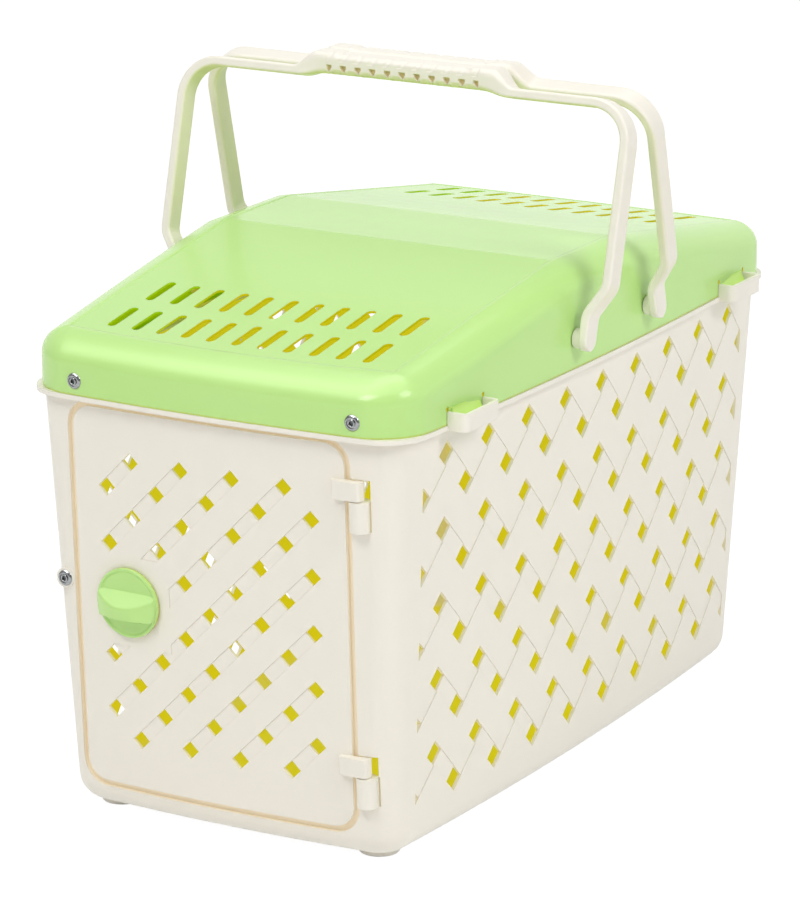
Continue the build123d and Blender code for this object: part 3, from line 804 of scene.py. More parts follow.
@dataclass
class LidShell:
    """The lime lid: upright wall, low elliptical shoulder, two slopes with slots and a flat top."""

    corner: float = 25.8
    thickness: float = 1.5
    roof_height: float = 317.5
    ridge_half: float = 37.0
    fall: float = 0.151
    crease_half_width: float = 106.7
    crease_half_length: float = 215.1
    crease_side_bow: float = 3.3
    crease_end_bow: float = 5.0
    drop_end: float = 16.0
    drop_side: float = 15.0
    slope_end: float = 0.185
    slope_side: float = 0.045
    slot_pitch: float = 16.9
    slot_count: int = 11
    slot_width: float = 5.6
    slot_length: float = 28.8
    slot_rows: Pair = (151.7, 193.0)
    slot_bow: float = 3.4
    slot_tip: float = 0.25
    bow_run: float = 80.0
    bow_end: Pair = (208.5, 215.1)
    round_steps: tuple[float, ...] = (0.0, 0.06, 0.22, 0.5, 1.0)
    middle_steps: tuple[float, ...] = (-0.2, 0.0, 0.2)
    plain_columns: Pair = (96.0, 102.0)
    plain_rows: tuple[float, ...] = (0.0, 12.0, 24.0, 50.0, 66.0, 82.0, 98.0, 112.0, 124.0, 212.0)
    clip_y: float = 172.0
    side_band: float = 5.0
    slit_spacing: float = 38.0
    slit_width: float = 1.0
    slit_height: float = 8.2
    slit_end_width: float = 2.2
    slit_end_height: float = 2.2
    crease_step: float = 0.35
    crease_wall: float = 0.45
    arc_points: int = 14
    shoulder_rows: int = 12
    low_edge: float = 0.9
    low_shade: float = 0.4
    left_green: Pair = (-66.0, -40.0)
    edge_radius: float = 0.35
    edge_segments: int = 2
    edge_from: float = 50.0

    def roof_z(self, along: Array) -> Array:
        """Height of the roof: flat between the ridges, then falling by a fixed share of the distance.

        Args:
            along: places along the carrier.

        Returns:
            The height at each.
        """
        return self.roof_height - self.fall * np.maximum(np.abs(along) - self.ridge_half, 0)

    def column_lines(self) -> Array:
        """Lay out the roof's long grid lines: slot edges, with plain lines between.

        Returns:
            Their places across the lid.
        """
        centres = (np.arange(self.slot_count) - (self.slot_count - 1) / 2) * self.slot_pitch
        edges = np.concatenate([centres - self.slot_width / 2, centres + self.slot_width / 2])
        between = centres[:-1] + self.slot_pitch / 2
        outer = np.array([*self.plain_columns, self.crease_half_width])
        return np.sort(np.concatenate([edges, between, -outer, outer]))

    def row_lines(self) -> Array:
        """Lay out the roof's cross lines: slot ends, clip slits and ridge, with plain lines between.

        Returns:
            Their places along the lid.
        """
        ends = [
            row + side * (self.slot_length - step * self.slot_width) / 2
            for row in self.slot_rows
            for side in (-1, 1)
            for step in self.round_steps
        ]
        middles = [row + part * self.slot_length for row in self.slot_rows for part in self.middle_steps]
        scale = self.crease_half_length / (WALLS.lid_half_length - self.corner)
        slits = [
            (self.clip_y + side * self.slit_spacing / 2 + edge * width / 2) * scale
            for side in (-1, 1)
            for edge in (-1, 1)
            for width in (self.slit_width, self.slit_end_width)
        ]
        limits = [*self.plain_rows, self.ridge_half, self.crease_half_length]
        half = np.unique(np.array(ends + middles + slits + limits))
        return np.unique(np.concatenate([-half, half]))

    def slot_cells(self, columns: Array, rows: Array) -> Array:
        """Which roof cells are open: those inside a slot's width and a slot row's length.

        Args:
            columns: the long grid lines.
            rows: the cross lines.

        Returns:
            True for open cells, rows - 1 by columns - 1.
        """
        across = (columns[1:] + columns[:-1]) / 2
        along = np.abs((rows[1:] + rows[:-1]) / 2)
        nearest = np.round(across / self.slot_pitch) * self.slot_pitch
        in_width = np.abs(across - nearest) < self.slot_width / 2
        in_width &= np.abs(across) < self.slot_pitch * self.slot_count / 2
        in_row = (np.abs(along[:, None] - np.array(self.slot_rows)) < self.slot_length / 2).any(axis=1)
        return in_row[:, None] & in_width[None, :]

    def roof_grid(self, columns: Array, rows: Array) -> Array:
        """Points of the roof.

        Across, lines move out to the crease by the fifth power of their share. Along, rows bow outwards by a
        parabola. At the ends of a slot its two edges draw together along a half circle.

        Args:
            columns: the long grid lines.
            rows: the cross lines.

        Returns:
            Points, rows by columns by three.
        """
        u, y = np.meshgrid(columns / self.crease_half_width, rows)
        distance = np.abs(y)
        side_share = (self.crease_half_length - distance) / (self.crease_half_length - self.ridge_half)
        widening = self.crease_side_bow * np.clip(side_share, 0, 1)
        radius = self.slot_width / 2
        centre = np.round(columns / self.slot_pitch) * self.slot_pitch
        at_edge = np.abs(np.abs(columns - centre) - radius) < TOUCH
        at_edge &= np.abs(columns) < self.slot_pitch * self.slot_count / 2
        side = np.where(at_edge, np.sign(columns - centre), 0.0)
        pull = np.zeros_like(distance)
        for row in self.slot_rows:
            inside = self.slot_length / 2 - np.abs(distance - row)
            share = np.clip(1 - inside / radius, 0, 1)
            round_off = radius * (1 - np.sqrt(1 - share**2))
            pull = np.where(inside > -TOUCH, np.minimum(round_off, radius - self.slot_tip), pull)
        bow = self.slot_bow * smooth(distance, self.ridge_half, self.ridge_half + self.bow_run)
        last = np.clip((distance - self.bow_end[0]) / (self.bow_end[1] - self.bow_end[0]), 0, 1)
        bow += (self.crease_end_bow - self.slot_bow) * last
        x = u * self.crease_half_width + widening * u**5 - side[None] * pull
        y_out = y + np.sign(y) * bow * (1 - u**2)
        return np.stack([x, y_out, self.roof_z(y_out)], axis=-1)

    def wall_loop(self, columns: Array, rows: Array) -> tuple[Array, Array]:
        """The wall's outline, point for point beside the crease.

        Args:
            columns: the long grid lines of the roof.
            rows: its cross lines.

        Returns:
            Outline points and crease points, both counter-clockwise from the front left corner.
        """
        r = self.corner
        half_width, half_length = WALLS.lid_half_width, WALLS.lid_half_length
        roof = self.roof_grid(columns, rows)
        front_x = columns / self.crease_half_width * (half_width - r)
        side_y = rows / self.crease_half_length * (half_length - r)
        end_y = half_length + WALLS.end_bow * (1 - (front_x / half_width) ** 2)
        front = np.column_stack([front_x, -end_y])
        right = np.column_stack([WALLS.lid_side_x(side_y), side_y])
        first = -math.pi / 2 + math.atan(2 * WALLS.end_bow / half_width)
        last = -math.atan(2 * WALLS.side_bow / half_length)
        turn = np.linspace(first, last, self.arc_points + 2)
        circle = np.column_stack([np.cos(turn), np.sin(turn)])
        share = (np.arange(1, self.arc_points + 1) / (self.arc_points + 1))[:, None]
        centre = (front[-1] - r * circle[0]) * (1 - share) + (right[0] - r * circle[-1]) * share
        arc = centre + r * circle[1:-1]
        crease_front, crease_right = roof[0, :, :2], roof[:, -1, :2]
        held = np.repeat(crease_front[-1:], self.arc_points, axis=0)
        mirror = np.array([1, -1])
        wall = np.vstack([front, arc, right[1:], arc[::-1] * mirror])
        crease = np.vstack([crease_front, held, crease_right[1:], held * mirror])
        return np.vstack([wall, -wall]), np.vstack([crease, -crease])

    def shoulder_and_skirt(self, wall: Array, crease: Array) -> tuple[Array, Array, Array]:
        """Rings of points up the wall and over the shoulder.

        The shoulder is a quarter ellipse, drop * sin(t) high and 1 - cos(t) of the way in to the crease,
        tilted by the slope. It ends in a small step that borders the roof.

        Args:
            wall: the wall's outline.
            crease: the crease beside it.

        Returns:
            The skirt's rings, the shoulder's rings, and the crease's points.
        """
        crease_z = self.roof_z(crease[:, 1])
        out = wall - crease
        width = np.linalg.norm(out, axis=1)
        endness = (out[:, 1] ** 2 / (out**2).sum(axis=1)) ** 2
        drop = self.drop_side + (self.drop_end - self.drop_side) * endness
        slope = self.slope_side + (self.slope_end - self.slope_side) * endness
        wall_top = crease_z - drop
        angles = np.linspace(0, math.pi / 2, self.shoulder_rows + 1)[:, None]
        reach = 1 - np.cos(angles)
        xy = wall[None] - out[None] * reach[..., None]
        z = wall_top + (drop - slope * width) * np.sin(angles) + slope * width * reach
        z[:-1] += self.crease_step * np.sin(angles[:-1]) ** 2
        brink_xy = crease + out * (self.crease_wall / width)[:, None]
        brink = np.column_stack([brink_xy, crease_z - slope * self.crease_wall + self.crease_step])
        rings = np.dstack([xy, z])
        shoulder = np.concatenate([rings[:-1], brink[None], rings[-1:]])
        levels = WALLS.flange_top + np.array([0.0, self.low_edge, self.slit_height, self.slit_top])
        upright = [np.column_stack([wall, np.full(len(wall), level)]) for level in levels]
        middle = np.column_stack([wall, (levels[-1] + wall_top) / 2])
        return np.stack([*upright, middle, shoulder[0]]), shoulder, np.column_stack([crease, crease_z])

    @property
    def slit_top(self) -> float:
        """Height of the top of a clip slit's end over the flange.

        Returns:
            The height.
        """
        return self.slit_height + self.slit_end_height

    def skirt_cells(self, wall: Array, rings: int) -> Array:
        """Which cells of the skirt are closed: all but the slits beside the snap tongues.

        Args:
            wall: the wall's outline.
            rings: rings of the skirt.

        Returns:
            True for closed cells, rings - 1 by points.
        """
        keep = np.ones((rings - 1, len(wall)), bool)
        beside = (wall + np.roll(wall, -1, axis=0)) / 2
        from_slit = np.abs(np.abs(np.abs(beside[:, 1]) - self.clip_y) - self.slit_spacing / 2)
        on_side = np.abs(beside[:, 0]) > WALLS.lid_half_width - self.side_band
        keep[:2, on_side & (from_slit < self.slit_width / 2)] = False
        keep[2, on_side & (from_slit < self.slit_end_width / 2)] = False
        return keep

    def thickened(self, skin: bpy.types.Mesh) -> bpy.types.Mesh:
        """Give the skin its wall, inwards, and mark the inner face and the rims in "depth" for a painted
        glow.

        The attribute "shade" paints the rims in the mustard of the lit basket inside, painted light, and the
        lowest edge a darker olive, painted shade. The rims near the left end only see the lid's own inside,
        so there they stay green.

        Args:
            skin: the outer skin.

        Returns:
            The closed wall. Its first points are those of the skin.
        """
        holder = add_object("skin_holder", skin)
        solid = holder.modifiers.new("thickness", "SOLIDIFY")
        solid.thickness = self.thickness * MM
        solid.offset = -1.0
        solid.use_even_offset = True
        wall = bpy.data.meshes.new_from_object(holder.evaluated_get(bpy.context.evaluated_depsgraph_get()))
        wall.name = "lid_shell"
        outer = len(skin.vertices)
        bpy.data.objects.remove(holder)
        bpy.data.meshes.remove(skin)
        corners, faces, starts = corner_faces(wall)
        inside = corners >= outer
        under = np.maximum.reduceat(inside, starts)[faces]
        rim = under & ~np.minimum.reduceat(inside, starts)[faces]
        place = point_places(wall)[corners]
        top = np.maximum.reduceat(place[:, 2], starts)[faces]
        lowest = top < WALLS.flange_top + self.low_edge + TOUCH
        mark(wall, "depth", under)
        mark(wall, "shade", np.where(lowest, self.low_shade, rim * smooth(place[:, 0], *self.left_green)))
        return wall

    def sharpen(self, mesh: bpy.types.Mesh, points: Array, crease: Array) -> None:
        """Make the edges of the crease and of the two ridges sharp.

        Args:
            mesh: the lid's wall.
            points: the points of its skin, in millimetres.
            crease: points of the crease.
        """
        gaps = np.abs(points[:, None, :] - crease[None, :, :]).max(axis=2)
        creased = (gaps < TOUCH).any(axis=1) | (np.abs(np.abs(points[:, 1]) - self.ridge_half) < TOUCH)
        both = np.isin(read(mesh.edges, "vertices", 2), np.flatnonzero(creased)).all(axis=1)
        sharp = mesh.attributes.get("sharp_edge") or mesh.attributes.new("sharp_edge", "BOOLEAN", "EDGE")
        sharp.data.foreach_set("value", read(sharp.data, "value", kind=bool) | both)

    def build(self, finishes: Finishes) -> None:
        """Build the lid.

        Args:
            finishes: the materials.
        """
        columns, rows = self.column_lines(), self.row_lines()
        wall, crease = self.wall_loop(columns, rows)
        skirt, shoulder, crease_points = self.shoulder_and_skirt(wall, crease)
        roof = self.roof_grid(columns, rows)
        shell = (
            grid_shell(skirt, closed_across=True, keep=self.skirt_cells(wall, len(skirt)))
            + grid_shell(shoulder, closed_across=True)
            + grid_shell(roof, keep=~self.slot_cells(columns, rows))
        )
        skin, first = build_mesh("lid_skin", shell)
        mesh = self.thickened(skin)
        piece = Piece("lid_shell", Body.CARRIER, Slot.LIME, ("lid",), smooth_angle=60.0).dress(mesh, finishes)
        self.sharpen(mesh, shell.points[first], crease_points)
        edge = piece.modifiers.new("soft_edges", "BEVEL")
        edge.width = self.edge_radius * MM
        edge.segments = self.edge_segments
        edge.limit_method = "ANGLE"
        edge.angle_limit = math.radians(self.edge_from)


# Lofted and turned pieces

TURN_STEPS, LEAST_STEPS = 9, 4


def outward(shell: Shell) -> Shell:
    """Turn the faces of a closed shell of quads to look outwards, by the sign of its volume.

    Args:
        shell: a closed shell.

    Returns:
        The shell, with its faces reversed where needed.
    """
    a, b, c, d = (shell.points[shell.faces[:, corner]] for corner in range(4))
    volume = np.einsum("ij,ij->", a, np.cross(b, c)) + np.einsum("ij,ij->", a, np.cross(c, d))
    return shell.reversed() if volume < 0 else shell


def rounded_loops(
    low: Array, high: Array, radius: Array, sides: tuple[int, ...], corner_points: int = 10
) -> Array:
    """Rounded rectangles, one for each station of a loft.

    Args:
        low: lower corner of each rectangle, stations by two.
        high: upper corner of each.
        radius: corner radius of each.
        sides: points between the corners on the high first side, high second, low first and low second.
        corner_points: points of a corner.

    Returns:
        Points, stations by points by two, counter-clockwise.
    """
    arcs = []
    for corner, (right, top) in enumerate(((True, False), (True, True), (False, True), (False, False))):
        x = high[:, 0] - radius if right else low[:, 0] + radius
        y = high[:, 1] - radius if top else low[:, 1] + radius
        angles = np.radians(np.linspace(0, 90, corner_points) + 90 * corner - 90)
        circle = np.column_stack([np.cos(angles), np.sin(angles)])
        arcs.append(np.column_stack([x, y])[:, None] + radius[:, None, None] * circle[None])
    blocks = []
    for corner in range(4):
        share = (np.arange(1, sides[corner] + 1) / (sides[corner] + 1))[None, :, None]
        following = arcs[(corner + 1) % 4]
        blocks += [arcs[corner], arcs[corner][:, -1:] * (1 - share) + following[:, :1] * share]
    return np.concatenate(blocks, axis=1)


def capped_loft(loops: Array) -> Shell:
    """Closed shell through loops, with both ends drawn in to their middle.

    Args:
        loops: points, stations by points by three.

    Returns:
        The closed shell, its faces outwards.
    """
    ends = [np.broadcast_to(loops[i].mean(axis=0), loops[:1].shape) for i in (0, -1)]
    return outward(grid_shell(np.concatenate([ends[0], loops, ends[1]]), closed_across=True))


def turned_shell(profile: Array, seat: Array, across: Array, axis: Array, points: int) -> Shell:
    """Closed shell of a profile turned about an axis.

    Args:
        profile: radius and place along the axis, a closed loop or a line that starts and ends on the axis.
        seat: origin of the axis.
        across: a unit vector square to the axis.
        axis: unit vector along the axis.
        points: points round the axis.

    Returns:
        The closed shell, its faces outwards.
    """
    angles = np.linspace(0, 2 * math.pi, points, endpoint=False)
    ring = np.cos(angles)[:, None] * across + np.sin(angles)[:, None] * np.cross(axis, across)
    grid = seat + profile[:, None, :1] * ring[None] + profile[:, None, 1:] * axis
    return outward(grid_shell(grid, closed_across=True))


def soft_minimum(parts: list[Array], edge: float) -> Array:
    """Rounded minimum of several surfaces: -e / 3 * log(sum of exp(-3 * part / e)).

    Args:
        parts: heights of the surfaces.
        edge: width of the rounding.

    Returns:
        The rounded minimum.
    """
    stack = np.stack(parts)
    least = stack.min(axis=0)
    return least - edge / 3 * np.log(np.exp(-(stack - least) * 3 / edge).sum(axis=0))


def rounded_path(corners: list[Pair], radii: list[float], spacing: float) -> tuple[Array, Array]:
    """Points along a line with rounded corners.

    Args:
        corners: the line's corners.
        radii: radius of the rounding at each inner corner.
        spacing: distance between points on the straight parts.

    Returns:
        The points and their unit directions.
    """
    nodes = np.array(corners, float)
    legs = np.diff(nodes, axis=0)
    legs /= np.linalg.norm(legs, axis=1)[:, None]
    places, ways = [], []
    start = nodes[0]
    for i, ahead in enumerate(legs):
        turn = 0.0
        end = nodes[i + 1]
        if i < len(radii):
            after = legs[i + 1]
            turn = math.atan2(ahead[0] * after[1] - ahead[1] * after[0], float(ahead @ after))
            end = end - ahead * radii[i] * math.tan(abs(turn) / 2)
        count = max(2, int(np.linalg.norm(end - start) / spacing) + 1)
        share = np.linspace(0, 1, count)[:, None]
        places.append(start * (1 - share) + end * share)
        ways.append(np.repeat(ahead[None], count, axis=0))
        if turn:
            angles = np.linspace(0, turn, max(LEAST_STEPS, int(abs(turn) * TURN_STEPS)) + 2)[1:-1]
            inward = math.copysign(1.0, turn) * np.array([-ahead[1], ahead[0]])
            places.append(end + radii[i] * inward + turned(-radii[i] * inward, angles))
            ways.append(turned(ahead, angles))
            start = nodes[i + 1] + after * radii[i] * math.tan(abs(turn) / 2)
    return np.vstack(places), np.vstack(ways)


def turned(vector: Array, angles: Array) -> Array:
    """Turn a vector of the plane.

    Args:
        vector: the vector.
        angles: how far to turn it, in radians.

    Returns:
        The turned vectors, one for each angle.
    """
    cosine, sine = np.cos(angles), np.sin(angles)
    return np.column_stack([vector[0] * cosine - vector[1] * sine, vector[0] * sine + vector[1] * cosine])


@dataclass
class CarryingHandle:
    """A folding bail: a flat strap from pivot to pivot that swells into half of the hand grip."""

    body: Body
    front: bool
    pivot_y: float = 46.0
    pivot_height: float = 275.5
    lean: float = math.radians(14.2)
    eye_x: float = 140.0
    eye_points: int = 13
    leg_x: float = 150.8
    bend_start: float = 14.0
    bend_end: float = 31.0
    bend_radius: float = 12.0
    bar_height: float = 137.0
    bar_radius: float = 23.0
    half_thickness: float = 3.0
    half_depth: float = 7.0
    strap_edge: float = 1.8
    strap_edge_share: float = 0.9
    strap_spacing: float = 3.0
    loop_sides: tuple[int, ...] = (22, 10, 6, 8)
    grip_half_length: float = 52.0
    grip_low: Pair = (0.3, 408.4)
    grip_high: Pair = (17.9, 421.8)
    grip_edge: float = 4.0
    grip_spacing: float = 0.45
    grip_end: float = 1.5
    ramp_top: Pair = (75.0, 60.0)
    ramp_low: Pair = (71.0, 53.0)
    ramp_run: float = 4.0
    lip_inset: Pair = (5.0, 7.5)
    lip_rise: Pair = (3.0, 6.0)
    lip_drop: float = 0.8
    pockets: int = 11
    pocket_pitch: float = 10.1
    pocket_depth: float = 1.9
    pocket_front: Pair = (7.0, 8.0)
    pocket_top: Pair = (-0.3, -1.0)
    pocket_heights: Pair = (-5.0, -2.1)
    pocket_half_width: float = 2.2
    pocket_edge: float = 0.7
    pocket_shade_power: float = 0.6
    facet_lean: Pair = (0.75, -3.2)
    facet_side: Pair = (2.0, 1.1)
    facet_low: Pair = (1.6, 2.4)
    facet_front: Pair = (2.5, 4.5)
    facet_cut: float = 0.45
    stub_place: float = 2.4
    stub_side: Pair = (1.25, 0.85)
    relief_top: Pair = (-3.1, -3.7)
    relief_front: Pair = (3.0, 5.0)
    relief_cut: float = 0.4
    boss_radius: float = 6.0
    boss_edge: float = 0.5
    pin_radius: float = 4.0
    head_radius: float = 5.0
    head_length: float = 2.2
    head_rim: float = 0.4
    head_taper: float = 0.8
    pivot_points: int = 40

    def stations(self) -> tuple[Array, Array]:
        """Lay out half of the bail in its plane, from the eye to the middle of the grip.

        Returns:
            Places and directions.
        """
        grip_from = self.ramp_top[0] + self.ramp_run
        corners = [
            (self.eye_x, 0.0),
            (self.eye_x, self.bend_start),
            (self.leg_x, self.bend_end),
            (self.leg_x, self.bar_height),
            (grip_from, self.bar_height),
        ]
        radii = [self.bend_radius, self.bend_radius, self.bar_radius]
        places, ways = rounded_path(corners, radii, self.strap_spacing)
        low = -self.half_depth * np.cos(np.linspace(0, math.pi / 2, self.eye_points))[:-1]
        across = np.arange(0, grip_from, self.grip_spacing)[::-1]
        eye = np.column_stack([np.full(len(low), self.eye_x), low])
        grip = np.column_stack([across, np.full(len(across), self.bar_height)])
        eye_ways = np.repeat([[0.0, 1.0]], len(low), axis=0)
        grip_ways = np.repeat([[-1.0, 0.0]], len(grip), axis=0)
        return np.vstack([eye, places, grip]), np.vstack([eye_ways, ways, grip_ways])

    def carved(self, section: Array, across: Array) -> tuple[Array, Array]:
        """Carve the pockets, the facets above them and the stubs below them into the grip's front.

        Args:
            section: grip points about its middle, stations by points by two: depth towards the front, height.
            across: place of each station across the carrier.

        Returns:
            The carved points, and how far into a pocket each one lies, 0 to 1, which sets the painted shade
            of the pocket.
        """
        depth, height = section[..., 0], section[..., 1]
        count = self.pockets // 2
        nearest = np.clip(np.round(across / self.pocket_pitch), -count, count) * self.pocket_pitch
        beside = (across - nearest)[:, None]
        reach = np.abs(across)[:, None]
        in_grip = smooth(reach, self.grip_half_length, self.grip_half_length - self.grip_end)
        half_width = np.interp(height, self.pocket_heights, (0.0, self.pocket_half_width))
        pocket = smooth(half_width - np.abs(beside), 0.0, self.pocket_edge) * smooth(height, *self.pocket_top)
        pocket = pocket * smooth(depth, *self.pocket_front) * in_grip
        facet_middle = self.facet_lean[0] * height + self.facet_lean[1]
        facet = smooth(np.abs(beside - facet_middle), *self.facet_side) * smooth(height, *self.facet_low)
        facet = facet * smooth(depth, *self.facet_front) * in_grip
        stub = smooth(np.abs(beside - self.stub_place), *self.stub_side)
        relief = smooth(height, *self.relief_top) * smooth(depth, *self.relief_front) * in_grip * (1 - stub)
        lips = smooth(reach, *(self.grip_half_length - inset for inset in self.lip_inset))
        carved = section.copy()
        carved[..., 0] -= self.pocket_depth * pocket + self.facet_cut * facet + self.relief_cut * relief
        carved[..., 1] -= self.facet_cut * facet + self.lip_drop * lips * smooth(height, *self.lip_rise)
        return carved, pocket

    def strap(self, places: Array, ways: Array) -> Array:
        """Points of the flat strap along the bail, leant into place.

        Args:
            places: the stations.
            ways: their directions.

        Returns:
            Points, stations by points by three.
        """
        below = np.clip(-places[:, 1], 0, self.half_depth)
        depth = np.sqrt(self.half_depth**2 - below**2)
        corner = np.column_stack([depth, np.full(len(places), self.half_thickness)])
        edge = np.minimum(self.strap_edge, self.strap_edge_share * depth)
        loops = rounded_loops(-corner, corner, edge, self.loop_sides)
        x = places[:, None, 0] + ways[:, None, 1] * loops[..., 1]
        up = places[:, None, 1] - ways[:, None, 0] * loops[..., 1]
        sine, cosine = math.sin(self.lean), math.cos(self.lean)
        y = -self.pivot_y + up * sine - loops[..., 0] * cosine
        return np.stack([x, y, self.pivot_height + up * cosine + loops[..., 0] * sine], axis=-1)

    def bail(self) -> tuple[Shell, Array]:
        """The strap with its grip.

        Returns:
            The closed shell and the pocket share of each of its points.
        """
        places, ways = self.stations()
        strap_points = self.strap(places, ways)
        low, high = np.array(self.grip_low), np.array(self.grip_high)
        middle, half = (low + high) / 2, np.repeat([(high - low) / 2], len(places), axis=0)
        box = rounded_loops(-half, half, np.full(len(places), self.grip_edge), self.loop_sides)
        rise, lift = (smooth(places[:, :1], *ramp) for ramp in (self.ramp_top, self.ramp_low))
        weight = (lift + (rise - lift) * (box[..., 1] / (2 * half[:, 1:]) + 0.5))[..., None]
        weight = np.where(places[:, 0, None, None] > self.ramp_top[0], 0.0, weight)
        halves, shares = [], []
        for sign in (1.0, -1.0):
            grip, share = self.carved(box, sign * places[:, 0])
            x = np.broadcast_to(places[:, None, 0], share.shape)
            grip_points = np.stack([x, -(middle[0] + grip[..., 0]), middle[1] + grip[..., 1]], axis=-1)
            points = strap_points * (1 - weight) + grip_points * weight
            halves.append(points * np.array([sign, 1.0, 1.0]))
            shares.append(share)
        end = np.zeros((1, shares[0].shape[1]))
        share = np.concatenate([end, shares[0], shares[1][::-1][1:], end]).reshape(-1)
        return capped_loft(np.concatenate([halves[0], halves[1][::-1][1:]])), share

    def pivots(self) -> Shell:
        """Spacer bosses, pins through the lid wall and snap heads behind it, on both sides.

        Returns:
            The closed shells, joined.
        """
        seat = WALLS.lid_side_x(self.pivot_y) + WALLS.fit
        inner = seat - WALLS.wall - 2 * WALLS.fit
        eye = self.eye_x - self.half_thickness + self.boss_edge
        boss, pin, head = self.boss_radius, self.pin_radius, self.head_radius
        profile = [(0.0, eye), (boss, eye), (boss, seat + self.boss_edge), (boss - self.boss_edge, seat)]
        profile += [(pin, seat), (pin, inner), (head, inner), (head, inner - self.head_rim)]
        profile += [(head - self.head_taper, inner - self.head_length), (0.0, inner - self.head_length)]
        place, across = np.array([0.0, -self.pivot_y, self.pivot_height]), np.array([0.0, 1.0, 0.0])
        left, right = (
            turned_shell(np.array(profile), place, across, np.array([side, 0.0, 0.0]), self.pivot_points)
            for side in (-1.0, 1.0)
        )
        return left + right

    def build(self, finishes: Finishes) -> None:
        """Build the handle, turned round for the rear one.

        Args:
            finishes: the materials.
        """
        bail, pocket = self.bail()
        pins = self.pivots()
        turn = np.array([1.0, 1.0, 1.0]) if self.front else np.array([-1.0, -1.0, 1.0])
        node = self.body.value
        for name, shell, share in (("bail", bail, pocket), ("pivots", pins, np.zeros(len(pins.points)))):
            mesh, first = build_mesh(f"{node}_{name}", Shell(shell.points * turn, shell.faces))
            # Painted shade: the pockets are painted darker, the more so the further into them a point lies.
            mark(mesh, "shade", share[first] ** self.pocket_shade_power, "POINT")
            Piece(f"{node}_{name}", self.body, Slot.CREAM, (node,), smooth_angle=38.0).dress(mesh, finishes)


